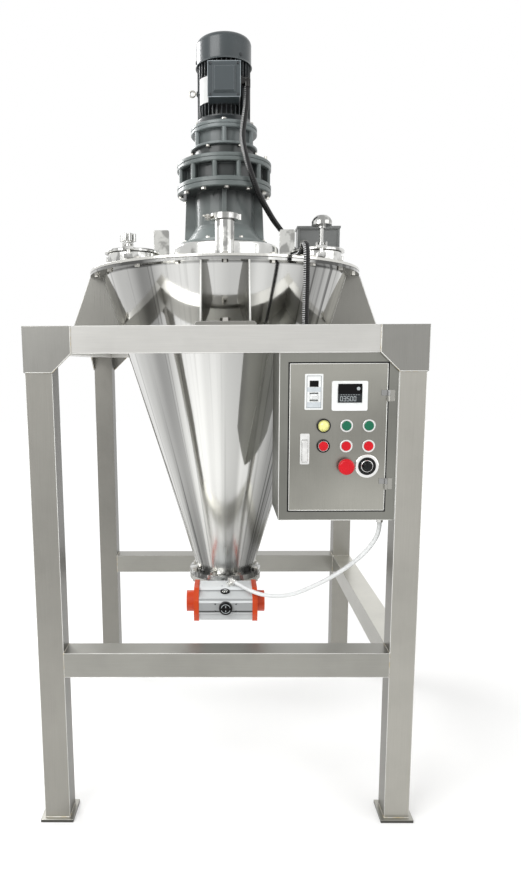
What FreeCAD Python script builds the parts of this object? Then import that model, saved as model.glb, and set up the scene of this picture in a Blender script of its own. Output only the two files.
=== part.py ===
import FreeCAD, Part
import math
import os

# A double screw mixer of about 300 litres: a conical vessel hung in a square tube frame,
# two screws on a revolving arm, a motor with two reducers above, a butterfly valve below
# and a control cabinet on the frame. Millimetres, floor at z = 0, cone axis on x = y = 0,
# front towards -Y.

# Frame
frame_width = 1190.0
frame_depth = 1190.0
frame_top = 1594.0
tube_side = 80.0
tube_wall = 3.0
lower_rail_top = 578.0
foot_side = 106.0
foot_thickness = 10.0
cap_reach = 138.0
cap_drop = 136.0
cap_thickness = 4.0

# Vessel and its lid
cone_height = 1112.0
cone_top_radius = 449.0
cone_bottom_radius = 111.0
cone_seam_share = 0.45
vessel_wall = 4.0
lid_overhang = 46.0
lid_radius = cone_top_radius + lid_overhang
lid_thickness = 8.0
rim_flange_thickness = 8.0
gasket_thickness = 2.0
rim_bolt_circle = lid_radius - 20.0
rim_bolt_count = 20
rim_bolt_radius = 5.0
bolt_clearance = 0.5
hex_height_ratio = 0.7
hex_flat_ratio = 1.7

# Support lugs
lug_rise = 202.0
lug_plate_gap = 148.0
lug_plate_thickness = 6.0
lug_base_length = 181.0
lug_base_depth = 66.0
lug_base_thickness = 12.0
lug_foot_overhang = 46.0
lug_head_inset = 6.0
lug_bolt_radius = 8.0

# Outlet and its valve
outlet_flange_radius = 140.0
outlet_flange_thickness = 18.0
outlet_bolt_circle = 126.0
outlet_bolt_count = 8
outlet_bolt_radius = 6.0
valve_bore = 100.0
valve_barrel_wall = 12.0
valve_stem_drop = 45.0
spigot_top_drop = 103.0
spigot_bottom_drop = 153.0
spigot_wall = 6.0
disc_thickness = 10.0
disc_gap = 0.8
stem_radius = 10.0
stem_clearance = 0.06
neck_radius = 26.0

# Valve actuator, stem across the machine from front to back
actuator_length = 192.0
actuator_rise = 60.0
actuator_drop = 50.0
actuator_depth = 150.0
actuator_front = -298.0
end_cap_plate = 18.0
end_cap_boss = 28.0
end_cap_boss_radius = 38.0
indicator_radius = 24.0
indicator_height = 14.0

# Drive tower
plinth_radius = 201.0
plinth_height = 92.0
plinth_wall = 6.0
plinth_edge = 12.0
bearing_radius = 52.0
shaft_radius = 27.5
shaft_clearance = 0.06
bell_foot_radius = 162.0
bell_foot_thickness = 14.0
bell_foot_land = 18.0
bell_radius = 107.0
bell_wall = 9.0
bell_height = 184.0
bell_flare_height = 62.0
rib_thickness = 14.0
rib_top_radius = 139.0
rib_foot_radius = 147.0
main_case_radius = 172.0
main_case_core = 142.0
main_flange_low = 33.0
main_window = 49.0
main_flange_high = 27.0
main_pillar_count = 12
neck_case_radius = 107.0
neck_case_height = 43.0
first_case_radius = 120.0
first_case_core = 100.0
first_flange_low = 8.0
first_window = 46.0
first_flange_high = 26.0
first_pillar_count = 6
pillar_width = 18.0
groove_depth = 3.0
groove_height = 4.0
shoulder_height = 24.0

# Motor
fin_radius = 95.0
fin_root_radius = 81.0
eye_height = 98.0
fin_count = 36
fin_thickness = 3.2
fin_height = 190.0
rotor_radius = 12.0
fan_cover_radius = 98.0
fan_cover_height = 91.0
fan_cover_lap = 10.0
fan_cover_wall = 1.5
fan_cover_edge = 20.0
fan_radius = 78.0
fan_blade_height = 28.0
fan_blade_count = 8
terminal_width = 112.0
terminal_height = 114.0
terminal_front = -150.0
terminal_cover_depth = 14.0

# Lid fittings
manhole_x = lid_radius - 170.0
manhole_y = -150.0
manhole_neck_radius = 84.0
manhole_neck_wall = 4.0
manhole_neck_height = 48.0
manhole_cover_radius = 95.0
manhole_cover_thickness = 10.0
manhole_pin_radius = 5.0
hand_screw_radius = 7.0
left_knob_rise = 12.0
right_knob_rise = 62.0
nozzle_y = 205.0 - lid_radius
nozzle_radius = 31.75
nozzle_wall = 1.75
nozzle_height = 144.0
ferrule_radius = 38.75
ferrule_thickness = 6.0
clamp_bolt_reach = 17.0
clamp_stud_radius = 3.5
lug_block_gap = 4.0
lug_block_width = 56.0
lug_block_x = plinth_radius + lug_block_gap + lug_block_width / 2
lug_block_depth = 20.0
lug_block_height = 158.0
filter_left = lid_radius - 216.0
filter_right = lid_radius - 57.0
filter_front = 62.0
filter_back = 126.0
filter_height = 182.0
filter_frame = 5.0

# Mixing gear
screw_radius = 75.0
screw_core_radius = 24.0
screw_pitch = 120.0
flight_thickness = 5.0
screw_wall_gap = 9.0
journal_radius = 20.0
long_screw_length = 930.0
short_screw_length = 700.0
arm_drop = 70.0
arm_hub_radius = 70.0
arm_tube_radius = 40.0
arm_head_radius = 50.0
arm_head_length = 104.0

# Control cabinet
cabinet_width = 355.0
cabinet_height = 507.0
cabinet_depth = 250.0
cabinet_setback = 5.0
cabinet_border = 33.0
sheet = 2.0
door_gap = 2.5
door_return = 14.0
button_insets = (133.0, 201.0, 268.0)
button_row_drop = 217.0
button_row_pitch = 61.0
button_cap_radius = 14.0
bezel_radius = 19.0
button_travel = 3.0
switch_ring_radius = 36.0
switch_knob_radius = 15.0
mushroom_radius = 24.0

# Cords
conduit_radius = 10.5
hose_radius = 7.0

# Levels worked out from the sizes above
rim_under = frame_top + lug_rise
rim_top = rim_under + rim_flange_thickness
lid_under = rim_top + gasket_thickness
lid_top = lid_under + lid_thickness
cone_bottom = rim_under - cone_height
cone_slope = (cone_top_radius - cone_bottom_radius) / cone_height
cone_angle = math.degrees(math.atan(cone_slope))
wall_across = vessel_wall / math.cos(math.radians(cone_angle))
outlet_under = cone_bottom - outlet_flange_thickness
valve_top = outlet_under - gasket_thickness
stem_level = valve_top - valve_stem_drop
spigot_bottom = valve_top - spigot_bottom_drop
plinth_top = lid_top + plinth_height
bell_top = plinth_top + bell_height
main_window_bottom = bell_top + main_flange_low
main_window_top = main_window_bottom + main_window
main_case_top = main_window_top + main_flange_high
first_case_bottom = main_case_top + neck_case_height
first_window_bottom = first_case_bottom + first_flange_low
first_window_top = first_window_bottom + first_window
first_case_top = first_window_top + first_flange_high
fin_bottom = first_case_top + shoulder_height
fin_top = fin_bottom + fin_height
arm_level = lid_under - arm_drop
cabinet_top = frame_top - tube_side
cabinet_bottom = cabinet_top - cabinet_height
cabinet_right = frame_width / 2 - tube_side
cabinet_left = cabinet_right - cabinet_width
cabinet_front = cabinet_setback - frame_depth / 2
cabinet_back = cabinet_front + cabinet_depth
button_columns = tuple(cabinet_left + inset for inset in button_insets)
button_row_top = cabinet_top - button_row_drop
door_left = cabinet_left + cabinet_border - 2.0
door_right = cabinet_right - cabinet_border - 1.0
door_top = cabinet_top - cabinet_border
door_bottom = cabinet_bottom + cabinet_border - 2.0
door_face = cabinet_front - sheet

up = FreeCAD.Vector(0, 0, 1)
across = FreeCAD.Vector(1, 0, 0)
inward = FreeCAD.Vector(0, 1, 0)
centre = FreeCAD.Vector(0, 0, 0)

os.makedirs("parts", exist_ok=True)


def vector(x, y, z):
    return FreeCAD.Vector(x, y, z)


def box(x0, x1, y0, y1, z0, z1):
    return Part.makeBox(x1 - x0, y1 - y0, z1 - z0, vector(x0, y0, z0))


def rod(radius, x, y, z0, z1):
    return Part.makeCylinder(radius, z1 - z0, vector(x, y, z0), up)


def rod_y(radius, x, z, y0, y1):
    return Part.makeCylinder(radius, y1 - y0, vector(x, y0, z), inward)


def rod_x(radius, y, z, x0, x1):
    return Part.makeCylinder(radius, x1 - x0, vector(x0, y, z), across)


def revolve(points):
    # Turn a closed outline of (radius, height) points about the vertical axis.
    corners = [vector(r, 0, z) for r, z in points]
    face = Part.Face(Part.makePolygon(corners + corners[:1]))
    return face.revolve(centre, up, 360)


def slab(points, direction):
    # Extrude a closed outline of 3-D points along a vector.
    corners = [vector(*point) for point in points]
    return Part.Face(Part.makePolygon(corners + corners[:1])).extrude(direction)


def turned(shape, angle, axis=up, point=centre):
    copy = shape.copy()
    copy.rotate(point, axis, angle)
    return copy


def ring_of(shape, count, start=0.0):
    return [turned(shape, start + 360.0 * i / count) for i in range(count)]


def hexagon(radius, x, y, z0, z1):
    # A hexagonal head or nut for a bolt of this radius.
    corner = radius * hex_flat_ratio / math.cos(math.radians(30))
    angles = [math.radians(60 * i) for i in range(6)]
    points = [(x + corner * math.cos(a), y + corner * math.sin(a), z0) for a in angles]
    return slab(points, vector(0, 0, z1 - z0))


def bolt(radius, x, y, z0, z1):
    # Shank from z0 to z1 with the head above and the nut below.
    head = 2 * radius * hex_height_ratio
    shank = rod(radius, x, y, z0, z1)
    return shank.fuse([hexagon(radius, x, y, z1, z1 + head), hexagon(radius, x, y, z0 - head, z0)])


def save(name, shapes):
    if not isinstance(shapes, list):
        shapes = [shapes]
    solids = [solid for shape in shapes for solid in shape.Solids]
    body = solids[0] if len(solids) == 1 else Part.makeCompound(solids)
    body.exportStep("parts/" + name + ".step")


def cone_radius(z):
    # Outer radius of the conical wall at a height.
    return cone_bottom_radius + (z - cone_bottom) * cone_slope


# The welded frame

def legs():
    half_x = frame_width / 2
    half_y = frame_depth / 2
    outer = box(-half_x, tube_side - half_x, -half_y, tube_side - half_y, foot_thickness, frame_top)
    inner = box(tube_wall - half_x, tube_side - tube_wall - half_x,
                tube_wall - half_y, tube_side - tube_wall - half_y,
                foot_thickness, frame_top - tube_wall)
    leg = outer.cut(inner)
    left_pair = [leg, leg.mirror(centre, inward)]
    return left_pair + [part.mirror(centre, across) for part in left_pair]


def square_tube(x0, x1, y0, y1, z1, along_x):
    outer = box(x0, x1, y0, y1, z1 - tube_side, z1)
    dx = 0 if along_x else tube_wall
    dy = tube_wall if along_x else 0
    inner = box(x0 + dx, x1 - dx, y0 + dy, y1 - dy, z1 - tube_side + tube_wall, z1 - tube_wall)
    return outer.cut(inner)


def side_rail(z1):
    # The right-hand rail between its two legs.
    half_x = frame_width / 2
    half_y = frame_depth / 2
    return square_tube(half_x - tube_side, half_x, tube_side - half_y, half_y - tube_side, z1, False)


def front_rail(z1):
    half_x = frame_width / 2
    half_y = frame_depth / 2
    return square_tube(tube_side - half_x, half_x - tube_side, -half_y, tube_side - half_y, z1, True)


def top_rails():
    front = front_rail(frame_top)
    right = side_rail(frame_top)
    rails = [front, front.mirror(centre, inward), right, right.mirror(centre, across)]
    hole = lug_bolt_radius + bolt_clearance
    drills = [rod(hole, x, y, frame_top - tube_side, frame_top + 1) for x, y in lug_bolt_places()]
    drills = [drill.common(box(-frame_width, frame_width, -frame_depth, frame_depth,
                               frame_top - tube_wall - 1, frame_top + 1)) for drill in drills]
    return [rail.cut(drills) for rail in rails]


def lower_rails():
    front = front_rail(lower_rail_top)
    return [front, front.mirror(centre, inward), side_rail(lower_rail_top)]


def corner_caps():
    # Each cap is one folded plate on the two outer faces of a corner.
    half_x = frame_width / 2
    half_y = frame_depth / 2
    low = frame_top - cap_drop
    rail_under = frame_top - tube_side
    front = slab([(-half_x, -half_y - cap_thickness, low), (tube_side - half_x, -half_y - cap_thickness, low),
                  (cap_reach - half_x, -half_y - cap_thickness, rail_under),
                  (cap_reach - half_x, -half_y - cap_thickness, frame_top),
                  (-half_x, -half_y - cap_thickness, frame_top)], vector(0, cap_thickness, 0))
    outside = -half_x - cap_thickness
    side = slab([(outside, -half_y - cap_thickness, low), (outside, tube_side - half_y, low),
                 (outside, cap_reach - half_y, rail_under), (outside, cap_reach - half_y, frame_top),
                 (outside, -half_y - cap_thickness, frame_top)], vector(cap_thickness, 0, 0))
    cap = front.fuse(side).removeSplitter()
    left_pair = [cap, cap.mirror(centre, inward)]
    return left_pair + [part.mirror(centre, across) for part in left_pair]


def foot_plates():
    plates = []
    for sign_x in (-1, 1):
        for sign_y in (-1, 1):
            x = sign_x * (frame_width - tube_side) / 2
            y = sign_y * (frame_depth - tube_side) / 2
            half = foot_side / 2
            plates.append(box(x - half, x + half, y - half, y + half, 0, foot_thickness))
    return plates


# The vessel

def cone_course(low, high):
    # One course of the conical wall: two rolled half shells that meet at the sides.
    outline = [(cone_radius(low) - wall_across, 0, low), (cone_radius(low), 0, low),
               (cone_radius(high), 0, high), (cone_radius(high) - wall_across, 0, high)]
    face = Part.Face(Part.makePolygon([vector(*point) for point in outline + outline[:1]]))
    half = face.revolve(centre, up, 180)
    return [half, turned(half, 180)]


def cone_shell():
    # Two courses between the rim flange and the outlet flange, welded edge to edge.
    seam = cone_bottom + cone_height * cone_seam_share
    inner_top = cone_top_radius - wall_across
    inner_bottom = cone_bottom_radius - wall_across
    rim = revolve([(inner_top, rim_under), (lid_radius, rim_under), (lid_radius, rim_top),
                   (inner_top, rim_top)])
    outlet = revolve([(inner_bottom, outlet_under), (outlet_flange_radius, outlet_under),
                      (outlet_flange_radius, cone_bottom), (inner_bottom, cone_bottom)])
    flanges = [rim.cut(rim_holes()), outlet.cut(outlet_holes(outlet_under - 1, cone_bottom + 1))]
    return cone_course(cone_bottom, seam) + cone_course(seam, rim_under) + flanges


def rim_holes():
    drill = rod(rim_bolt_radius + bolt_clearance, 0, -rim_bolt_circle, rim_under - 1, lid_top + 1)
    return ring_of(drill, rim_bolt_count)


def outlet_holes(z0, z1):
    drill = rod(outlet_bolt_radius + bolt_clearance, 0, -outlet_bolt_circle, z0, z1)
    return ring_of(drill, outlet_bolt_count, 22.5)


def lug_bolt_places():
    x = (frame_width - tube_side) / 2
    y = (frame_depth - tube_side) / 2
    return [(0, -y), (x, 0), (0, y), (-x, 0)]


def support_lugs():
    # A lug is two upright plates on a bevelled base that is bolted to the rail below.
    cone = Part.makeCone(cone_bottom_radius, cone_top_radius, cone_height, vector(0, 0, cone_bottom), up)
    seat = frame_top + lug_base_thickness
    head_reach = lid_radius - lug_head_inset
    lugs = []
    for i, (rail_x, rail_y) in enumerate(lug_bolt_places()):
        rail = math.hypot(rail_x, rail_y)
        foot_reach = rail - tube_side / 2 + lug_foot_overhang
        side = lug_plate_gap / 2 - lug_plate_thickness / 2
        outline = [(side, -cone_bottom_radius, seat), (side, -foot_reach, seat),
                   (side, -head_reach, rim_under), (side, -cone_bottom_radius, rim_under)]
        plate = slab(outline, vector(lug_plate_thickness, 0, 0))
        half = lug_base_length / 2
        y0 = -rail - lug_base_depth / 2
        base = slab([(-half, y0, frame_top), (half, y0, frame_top), (half, y0, seat - 5),
                     (half - 6, y0, seat), (6 - half, y0, seat), (-half, y0, seat - 5)],
                    vector(0, lug_base_depth, 0))
        base = base.cut(rod(lug_bolt_radius + bolt_clearance, 0, -rail, frame_top - 1, seat + 1))
        lug = base.fuse([plate.cut(cone), plate.mirror(centre, across).cut(cone)])
        lugs.append(turned(lug, 90.0 * i))
    return lugs


def gaskets():
    rim = revolve([(cone_top_radius, rim_top), (lid_radius, rim_top), (lid_radius, lid_under),
                   (cone_top_radius, lid_under)]).cut(rim_holes())
    outlet = revolve([(valve_bore + 8, valve_top), (outlet_flange_radius, valve_top),
                      (outlet_flange_radius, outlet_under), (valve_bore + 8, outlet_under)])
    outlet = outlet.cut(outlet_holes(valve_top - 1, outlet_under + 1))
    rings = [rim, outlet]
    top = lid_top + manhole_neck_height
    for x in (-manhole_x, manhole_x):
        ring = rod(manhole_neck_radius, x, manhole_y, top, top + gasket_thickness)
        mouth = rod(manhole_neck_radius - 8, x, manhole_y, top - 1, top + gasket_thickness + 1)
        rings.append(ring.cut(mouth))
    return rings


def vessel_bolts():
    bolts = ring_of(bolt(rim_bolt_radius, 0, -rim_bolt_circle, rim_under, lid_top), rim_bolt_count)
    low = valve_top - outlet_flange_thickness
    bolts += ring_of(bolt(outlet_bolt_radius, 0, -outlet_bolt_circle, low, cone_bottom),
                     outlet_bolt_count, 22.5)
    for x, y in lug_bolt_places():
        bolts.append(bolt(lug_bolt_radius, x, y, frame_top - tube_wall, frame_top + lug_base_thickness))
    return bolts


def lid_plate():
    lid = rod(lid_radius, 0, 0, lid_under, lid_top)
    holes = rim_holes() + [rod(bearing_radius, 0, 0, lid_under - 1, lid_top + 1)]
    for x in (-manhole_x, manhole_x):
        holes.append(rod(manhole_neck_radius - manhole_neck_wall, x, manhole_y, lid_under - 1, lid_top + 1))
    holes.append(rod(nozzle_radius - nozzle_wall, 0, nozzle_y, lid_under - 1, lid_top + 1))
    vent_x = (filter_left + filter_right) / 2
    vent_y = (filter_front + filter_back) / 2
    holes.append(rod(25, vent_x, vent_y, lid_under - 1, lid_top + 1))
    return lid.cut(holes)


# Fittings on the lid

def manhole_hinge_y():
    return manhole_y + manhole_cover_radius + 10.0


def manhole_hinge_level():
    return lid_top + manhole_neck_height + gasket_thickness + manhole_cover_thickness / 2


def hand_screw_y():
    return manhole_y - manhole_cover_radius - 8.0


def manhole_neck(x):
    # A short pipe with a hinge bracket behind and a screw bracket in front.
    top = lid_top + manhole_neck_height
    neck = rod(manhole_neck_radius, x, manhole_y, lid_top, top)
    pin_y = manhole_hinge_y()
    pin_z = manhole_hinge_level()
    ears = []
    for side in (-26.0, 18.0):
        ear = slab([(x + side, manhole_y + manhole_neck_radius - 12, lid_top + 20),
                    (x + side, pin_y + 8, pin_z - 12), (x + side, pin_y + 8, pin_z + 8),
                    (x + side, pin_y - 8, pin_z + 8), (x + side, pin_y - 8, lid_top + 48),
                    (x + side, manhole_y + manhole_neck_radius - 12, lid_top + 48)], vector(8, 0, 0))
        ears.append(ear)
    pin = rod_x(manhole_pin_radius, pin_y, pin_z, x - 30, x + 30)
    outer_side = math.copysign(manhole_neck_radius + 3, x)
    ears.append(rod(5, x + outer_side, manhole_y, lid_top + 20, top - 8))
    screw_y = hand_screw_y()
    bracket = box(x - 14, x + 14, screw_y - 13, manhole_y - manhole_neck_radius + 12,
                  lid_top + 22, lid_top + 36)
    body = neck.fuse(ears + [bracket])
    body = body.cut(rod(manhole_neck_radius - manhole_neck_wall, x, manhole_y, lid_top - 1, top + 1))
    body = body.fuse(pin)
    return body.cut(rod(hand_screw_radius + 1.8, x, screw_y, lid_top + 21, lid_top + 37))


def manhole_cover(x):
    # The lid rests on its gasket; one knuckle behind turns on the pin, one ear holds the screw.
    under = lid_top + manhole_neck_height + gasket_thickness
    top = under + manhole_cover_thickness
    disc = rod(manhole_cover_radius, x, manhole_y, under, top)
    edges = [edge for edge in disc.Edges
             if abs(edge.BoundBox.ZMin - top) < 0.1 and edge.BoundBox.ZLength < 0.1]
    disc = disc.makeFillet(manhole_cover_thickness * 0.5, edges)
    pin_y = manhole_hinge_y()
    pin_z = manhole_hinge_level()
    knuckle = rod_x(manhole_pin_radius + 5, pin_y, pin_z, x - 17, x + 17)
    link = box(x - 17, x + 17, manhole_y + manhole_cover_radius - 20, pin_y, under + 1, top)
    screw_y = hand_screw_y()
    ear = box(x - 18, x + 18, screw_y - 12, manhole_y - manhole_cover_radius + 22, under + 1, top)
    cheeks = [box(x + side, x + side + 5, screw_y - 12, screw_y + 14, under + 1, top + 10)
              for side in (-18, 13)]
    cover = disc.fuse([knuckle, link, ear] + cheeks)
    cover = cover.cut(rod_x(manhole_pin_radius + stem_clearance, pin_y, pin_z, x - 40, x + 40))
    return cover.cut(rod(hand_screw_radius + stem_clearance, x, screw_y, under - 1, top + 1))


def hand_screw(x, knob_rise, mushroom):
    # A threaded rod through the cover's ear with a knob on top; its tip stands in the bracket.
    screw_y = hand_screw_y()
    cover_top = manhole_hinge_level() + manhole_cover_thickness / 2
    knob_low = cover_top + knob_rise
    screw = rod(hand_screw_radius, x, screw_y, lid_top + 30, knob_low + 12)
    collar = rod(hand_screw_radius + 5, x, screw_y, cover_top + 0.3, cover_top + 8)
    if mushroom:
        dome = Part.makeSphere(36, vector(x, screw_y, knob_low + 2), up, 0, 90)
        dome = dome.common(rod(34, x, screw_y, knob_low, knob_low + 32))
        return screw.fuse([collar, rod(13, x, screw_y, knob_low - 8, knob_low + 6), dome])
    hub = rod(15, x, screw_y, knob_low, knob_low + 28)
    lobes = [rod(8, x + 19 * math.cos(math.radians(a)), screw_y + 19 * math.sin(math.radians(a)),
                 knob_low + 4, knob_low + 28) for a in range(0, 360, 60)]
    return screw.fuse([collar, hub] + lobes)


def charging_nozzle():
    top = lid_top + nozzle_height
    pipe = rod(nozzle_radius, 0, nozzle_y, lid_top, top)
    ferrule = Part.makeCone(nozzle_radius, ferrule_radius, ferrule_thickness * 0.6,
                            vector(0, nozzle_y, top - ferrule_thickness), up)
    face = rod(ferrule_radius, 0, nozzle_y, top - ferrule_thickness * 0.4, top)
    body = pipe.fuse([ferrule, face])
    return body.cut(rod(nozzle_radius - nozzle_wall, 0, nozzle_y, lid_top - 1, top + 1))


def nozzle_cap():
    top = lid_top + nozzle_height
    plate = rod(ferrule_radius, 0, nozzle_y, top, top + ferrule_thickness * 0.4)
    crown = Part.makeCone(ferrule_radius, nozzle_radius, ferrule_thickness * 0.6,
                          vector(0, nozzle_y, top + ferrule_thickness * 0.4), up)
    return plate.fuse(crown)


def nozzle_clamp():
    # Two half rings round the two ferrules, hinged at the right and bolted at the left.
    middle = lid_top + nozzle_height
    half = ferrule_thickness + 3
    outer = rod(ferrule_radius + 7, 0, nozzle_y, middle - half, middle + half)
    bolt_x = -ferrule_radius - clamp_bolt_reach
    ears = box(bolt_x - 9, -ferrule_radius, nozzle_y - 11, nozzle_y + 11, middle - 7, middle + 7)
    hinge = rod(7, ferrule_radius + 9, nozzle_y, middle - 9, middle + 9)
    body = outer.fuse([ears, hinge])
    channel = revolve([(0, middle - ferrule_thickness), (nozzle_radius + 2, middle - ferrule_thickness),
                       (ferrule_radius + 0.2, middle - ferrule_thickness * 0.4),
                       (ferrule_radius + 0.2, middle + ferrule_thickness * 0.4),
                       (nozzle_radius + 2, middle + ferrule_thickness), (0, middle + ferrule_thickness)])
    channel.translate(vector(0, nozzle_y, 0))
    through = rod(nozzle_radius + 2, 0, nozzle_y, middle - 20, middle + 20)
    split = box(-ferrule_radius - 30, 0, nozzle_y - 1.5, nozzle_y + 1.5, middle - 20, middle + 20)
    body = body.cut([channel, through, split])
    return body.cut(rod_y(clamp_stud_radius + stem_clearance, bolt_x, middle, nozzle_y - 20, nozzle_y + 20))


def nozzle_wing_nut():
    # Wing nut and its stud across the clamp's ears.
    x = -ferrule_radius - clamp_bolt_reach
    z = lid_top + nozzle_height
    stud = rod_y(clamp_stud_radius, x, z, nozzle_y - 28, nozzle_y + 13)
    hub = rod_y(7, x, z, nozzle_y - 24, nozzle_y - 11.3)
    head = rod_y(6, x, z, nozzle_y + 11.3, nozzle_y + 15)
    wing = slab([(x - 16, nozzle_y - 29, z - 2), (x - 5, nozzle_y - 15, z - 2), (x + 5, nozzle_y - 15, z - 2),
                 (x + 16, nozzle_y - 29, z - 2), (x + 11, nozzle_y - 32, z - 2), (x, nozzle_y - 21, z - 2),
                 (x - 11, nozzle_y - 32, z - 2)], vector(0, 0, 4))
    return stud.fuse([hub, head, wing])


def lifting_lugs():
    blocks = []
    for x in (-lug_block_x, lug_block_x):
        half_x = lug_block_width / 2
        half_y = lug_block_depth / 2
        block = box(x - half_x, x + half_x, -half_y, half_y, lid_top, lid_top + lug_block_height)
        edges = [edge for edge in block.Edges
                 if edge.BoundBox.ZMin > lid_top + lug_block_height - 1 and edge.BoundBox.YLength > 1]
        block = block.makeFillet(6, edges)
        blocks.append(block.cut(rod_y(14, x, lid_top + lug_block_height - 120, -50, 50)))
    return blocks


def filter_box():
    top = lid_top + filter_height
    shell = box(filter_left, filter_right, filter_front, filter_back, lid_top, top - 8)
    face = filter_front - filter_frame
    surround = box(filter_left, filter_right, face, filter_front, lid_top, top - 8)
    surround = surround.cut(box(filter_left + 7, filter_right - 7, face - 1, filter_front,
                                lid_top + 7, top - 12))
    shell = shell.fuse(surround)
    lip = box(filter_left - 3, filter_right + 3, face - 3, filter_back + 3, top - 8, top)
    inner = box(filter_left + sheet, filter_right - sheet, filter_front + sheet, filter_back - sheet,
                lid_top - 1, top - sheet)
    return shell.fuse(lip).cut(inner)


# The drive tower

def drive_plinth():
    # A hollow drum with the shaft's seal housing in the middle.
    bore = shaft_radius + shaft_clearance
    drum = rod(plinth_radius, 0, 0, lid_top, plinth_top)
    edges = [edge for edge in drum.Edges if abs(edge.BoundBox.ZMin - plinth_top) < 0.1]
    drum = drum.makeFillet(plinth_edge, edges)
    hollow = revolve([(bearing_radius, lid_top - 1), (plinth_radius - plinth_wall, lid_top - 1),
                      (plinth_radius - plinth_wall, plinth_top - plinth_edge - 2),
                      (bearing_radius, plinth_top - plinth_edge - 2)])
    drum = drum.cut(hollow)
    spigot = rod(bearing_radius - 1, 0, 0, lid_under, lid_top)
    return drum.fuse(spigot).cut(rod(bore, 0, 0, lid_under - 1, plinth_top + 1))


def bell_stand():
    foot = plinth_top + bell_foot_thickness
    flare = plinth_top + bell_flare_height
    inner = bell_radius - bell_wall
    shell = revolve([(inner, plinth_top), (bell_foot_radius, plinth_top), (bell_foot_radius, foot),
                     (bell_foot_radius - bell_foot_land, foot), (bell_radius + 8, flare - 8),
                     (bell_radius, flare + 8), (bell_radius, bell_top), (inner, bell_top)])
    rib = slab([(-rib_thickness / 2, -bell_radius + 4, bell_top),
                (-rib_thickness / 2, -rib_top_radius, bell_top),
                (-rib_thickness / 2, -rib_foot_radius, foot), (-rib_thickness / 2, -bell_radius + 4, foot)],
               vector(rib_thickness, 0, 0))
    return shell.fuse(ring_of(rib, 4))


def grooved(radius, low, high):
    # Outline of one case flange with a thin groove at its middle.
    middle = (low + high) / 2
    return [(radius - 3, low), (radius, low + 3), (radius, middle - groove_height / 2),
            (radius - groove_depth, middle - groove_height / 2),
            (radius - groove_depth, middle + groove_height / 2),
            (radius, middle + groove_height / 2), (radius, high - 3), (radius - 3, high)]


def pillars(radius, core, low, high, count, start):
    pillar = rod(pillar_width / 2, 0, -radius + pillar_width / 2 + 2, low, high)
    web = box(-pillar_width / 2 + 2, pillar_width / 2 - 2, -radius + pillar_width / 2, -core + 4, low, high)
    return ring_of(pillar.fuse(web), count, start)


def main_reducer_case():
    low = grooved(main_case_radius, bell_top, main_window_bottom)
    high = grooved(main_case_radius, main_window_top, main_case_top)
    neck_top = first_case_bottom
    window = [(main_case_core, main_window_bottom), (main_case_core, main_window_top)]
    neck = [(neck_case_radius + 12, main_case_top), (neck_case_radius, main_case_top + 8),
            (neck_case_radius, neck_top), (0, neck_top)]
    outline = [(0, bell_top)] + low + window + high + neck
    case = revolve(outline)
    case = case.fuse(pillars(main_case_radius, main_case_core, main_window_bottom - 1, main_window_top + 1,
                             main_pillar_count, 18))
    return case.cut(rod(shaft_radius + shaft_clearance, 0, 0, bell_top - 1, bell_top + 40))


def first_reducer_case():
    high = grooved(first_case_radius, first_window_top, first_case_top)
    outline = ([(0, first_case_bottom), (first_case_radius - 2, first_case_bottom),
                (first_case_radius + 1, first_case_bottom + 2), (first_case_radius + 1, first_window_bottom),
                (first_case_core, first_window_bottom), (first_case_core, first_window_top)]
               + high + [(0, first_case_top)])
    case = revolve(outline)
    return case.fuse(pillars(first_case_radius, first_case_core, first_window_bottom - 1,
                             first_window_top + 1, first_pillar_count, 0))


def motor_frame():
    # A finned barrel on a shouldered end shield, drilled for the rotor shaft.
    shoulder = revolve([(0, first_case_top), (fin_radius + 7, first_case_top),
                        (fin_radius + 7, first_case_top + 6), (fin_radius + 1, fin_bottom - 4),
                        (fin_radius + 1, fin_bottom), (0, fin_bottom)])
    points = []
    step = 360.0 / fin_count
    half_root = math.degrees(fin_thickness / 2 / fin_root_radius)
    half_tip = half_root * 0.6
    for i in range(fin_count):
        middle = (i + 0.5) * step
        for radius, angle in ((fin_root_radius, middle - half_root), (fin_radius, middle - half_tip),
                              (fin_radius, middle + half_tip), (fin_root_radius, middle + half_root)):
            turn = math.radians(angle)
            points.append((radius * math.cos(turn), radius * math.sin(turn), fin_bottom))
    barrel = slab(points, vector(0, 0, fin_height))
    pad = box(-terminal_width / 2 + 6, terminal_width / 2 - 6, -fin_radius, -fin_root_radius + 12,
              terminal_level() - terminal_height / 2, terminal_level() + terminal_height / 2)
    eye_boss = rod_x(9, 0, fin_bottom + eye_height, -fin_radius - 3, -fin_root_radius + 2)
    body = shoulder.fuse([barrel, pad, eye_boss])
    return body.cut(rod(rotor_radius + shaft_clearance, 0, 0, first_case_top + 20, fin_top + 1))


def terminal_level():
    return fin_bottom + 90.0


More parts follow.
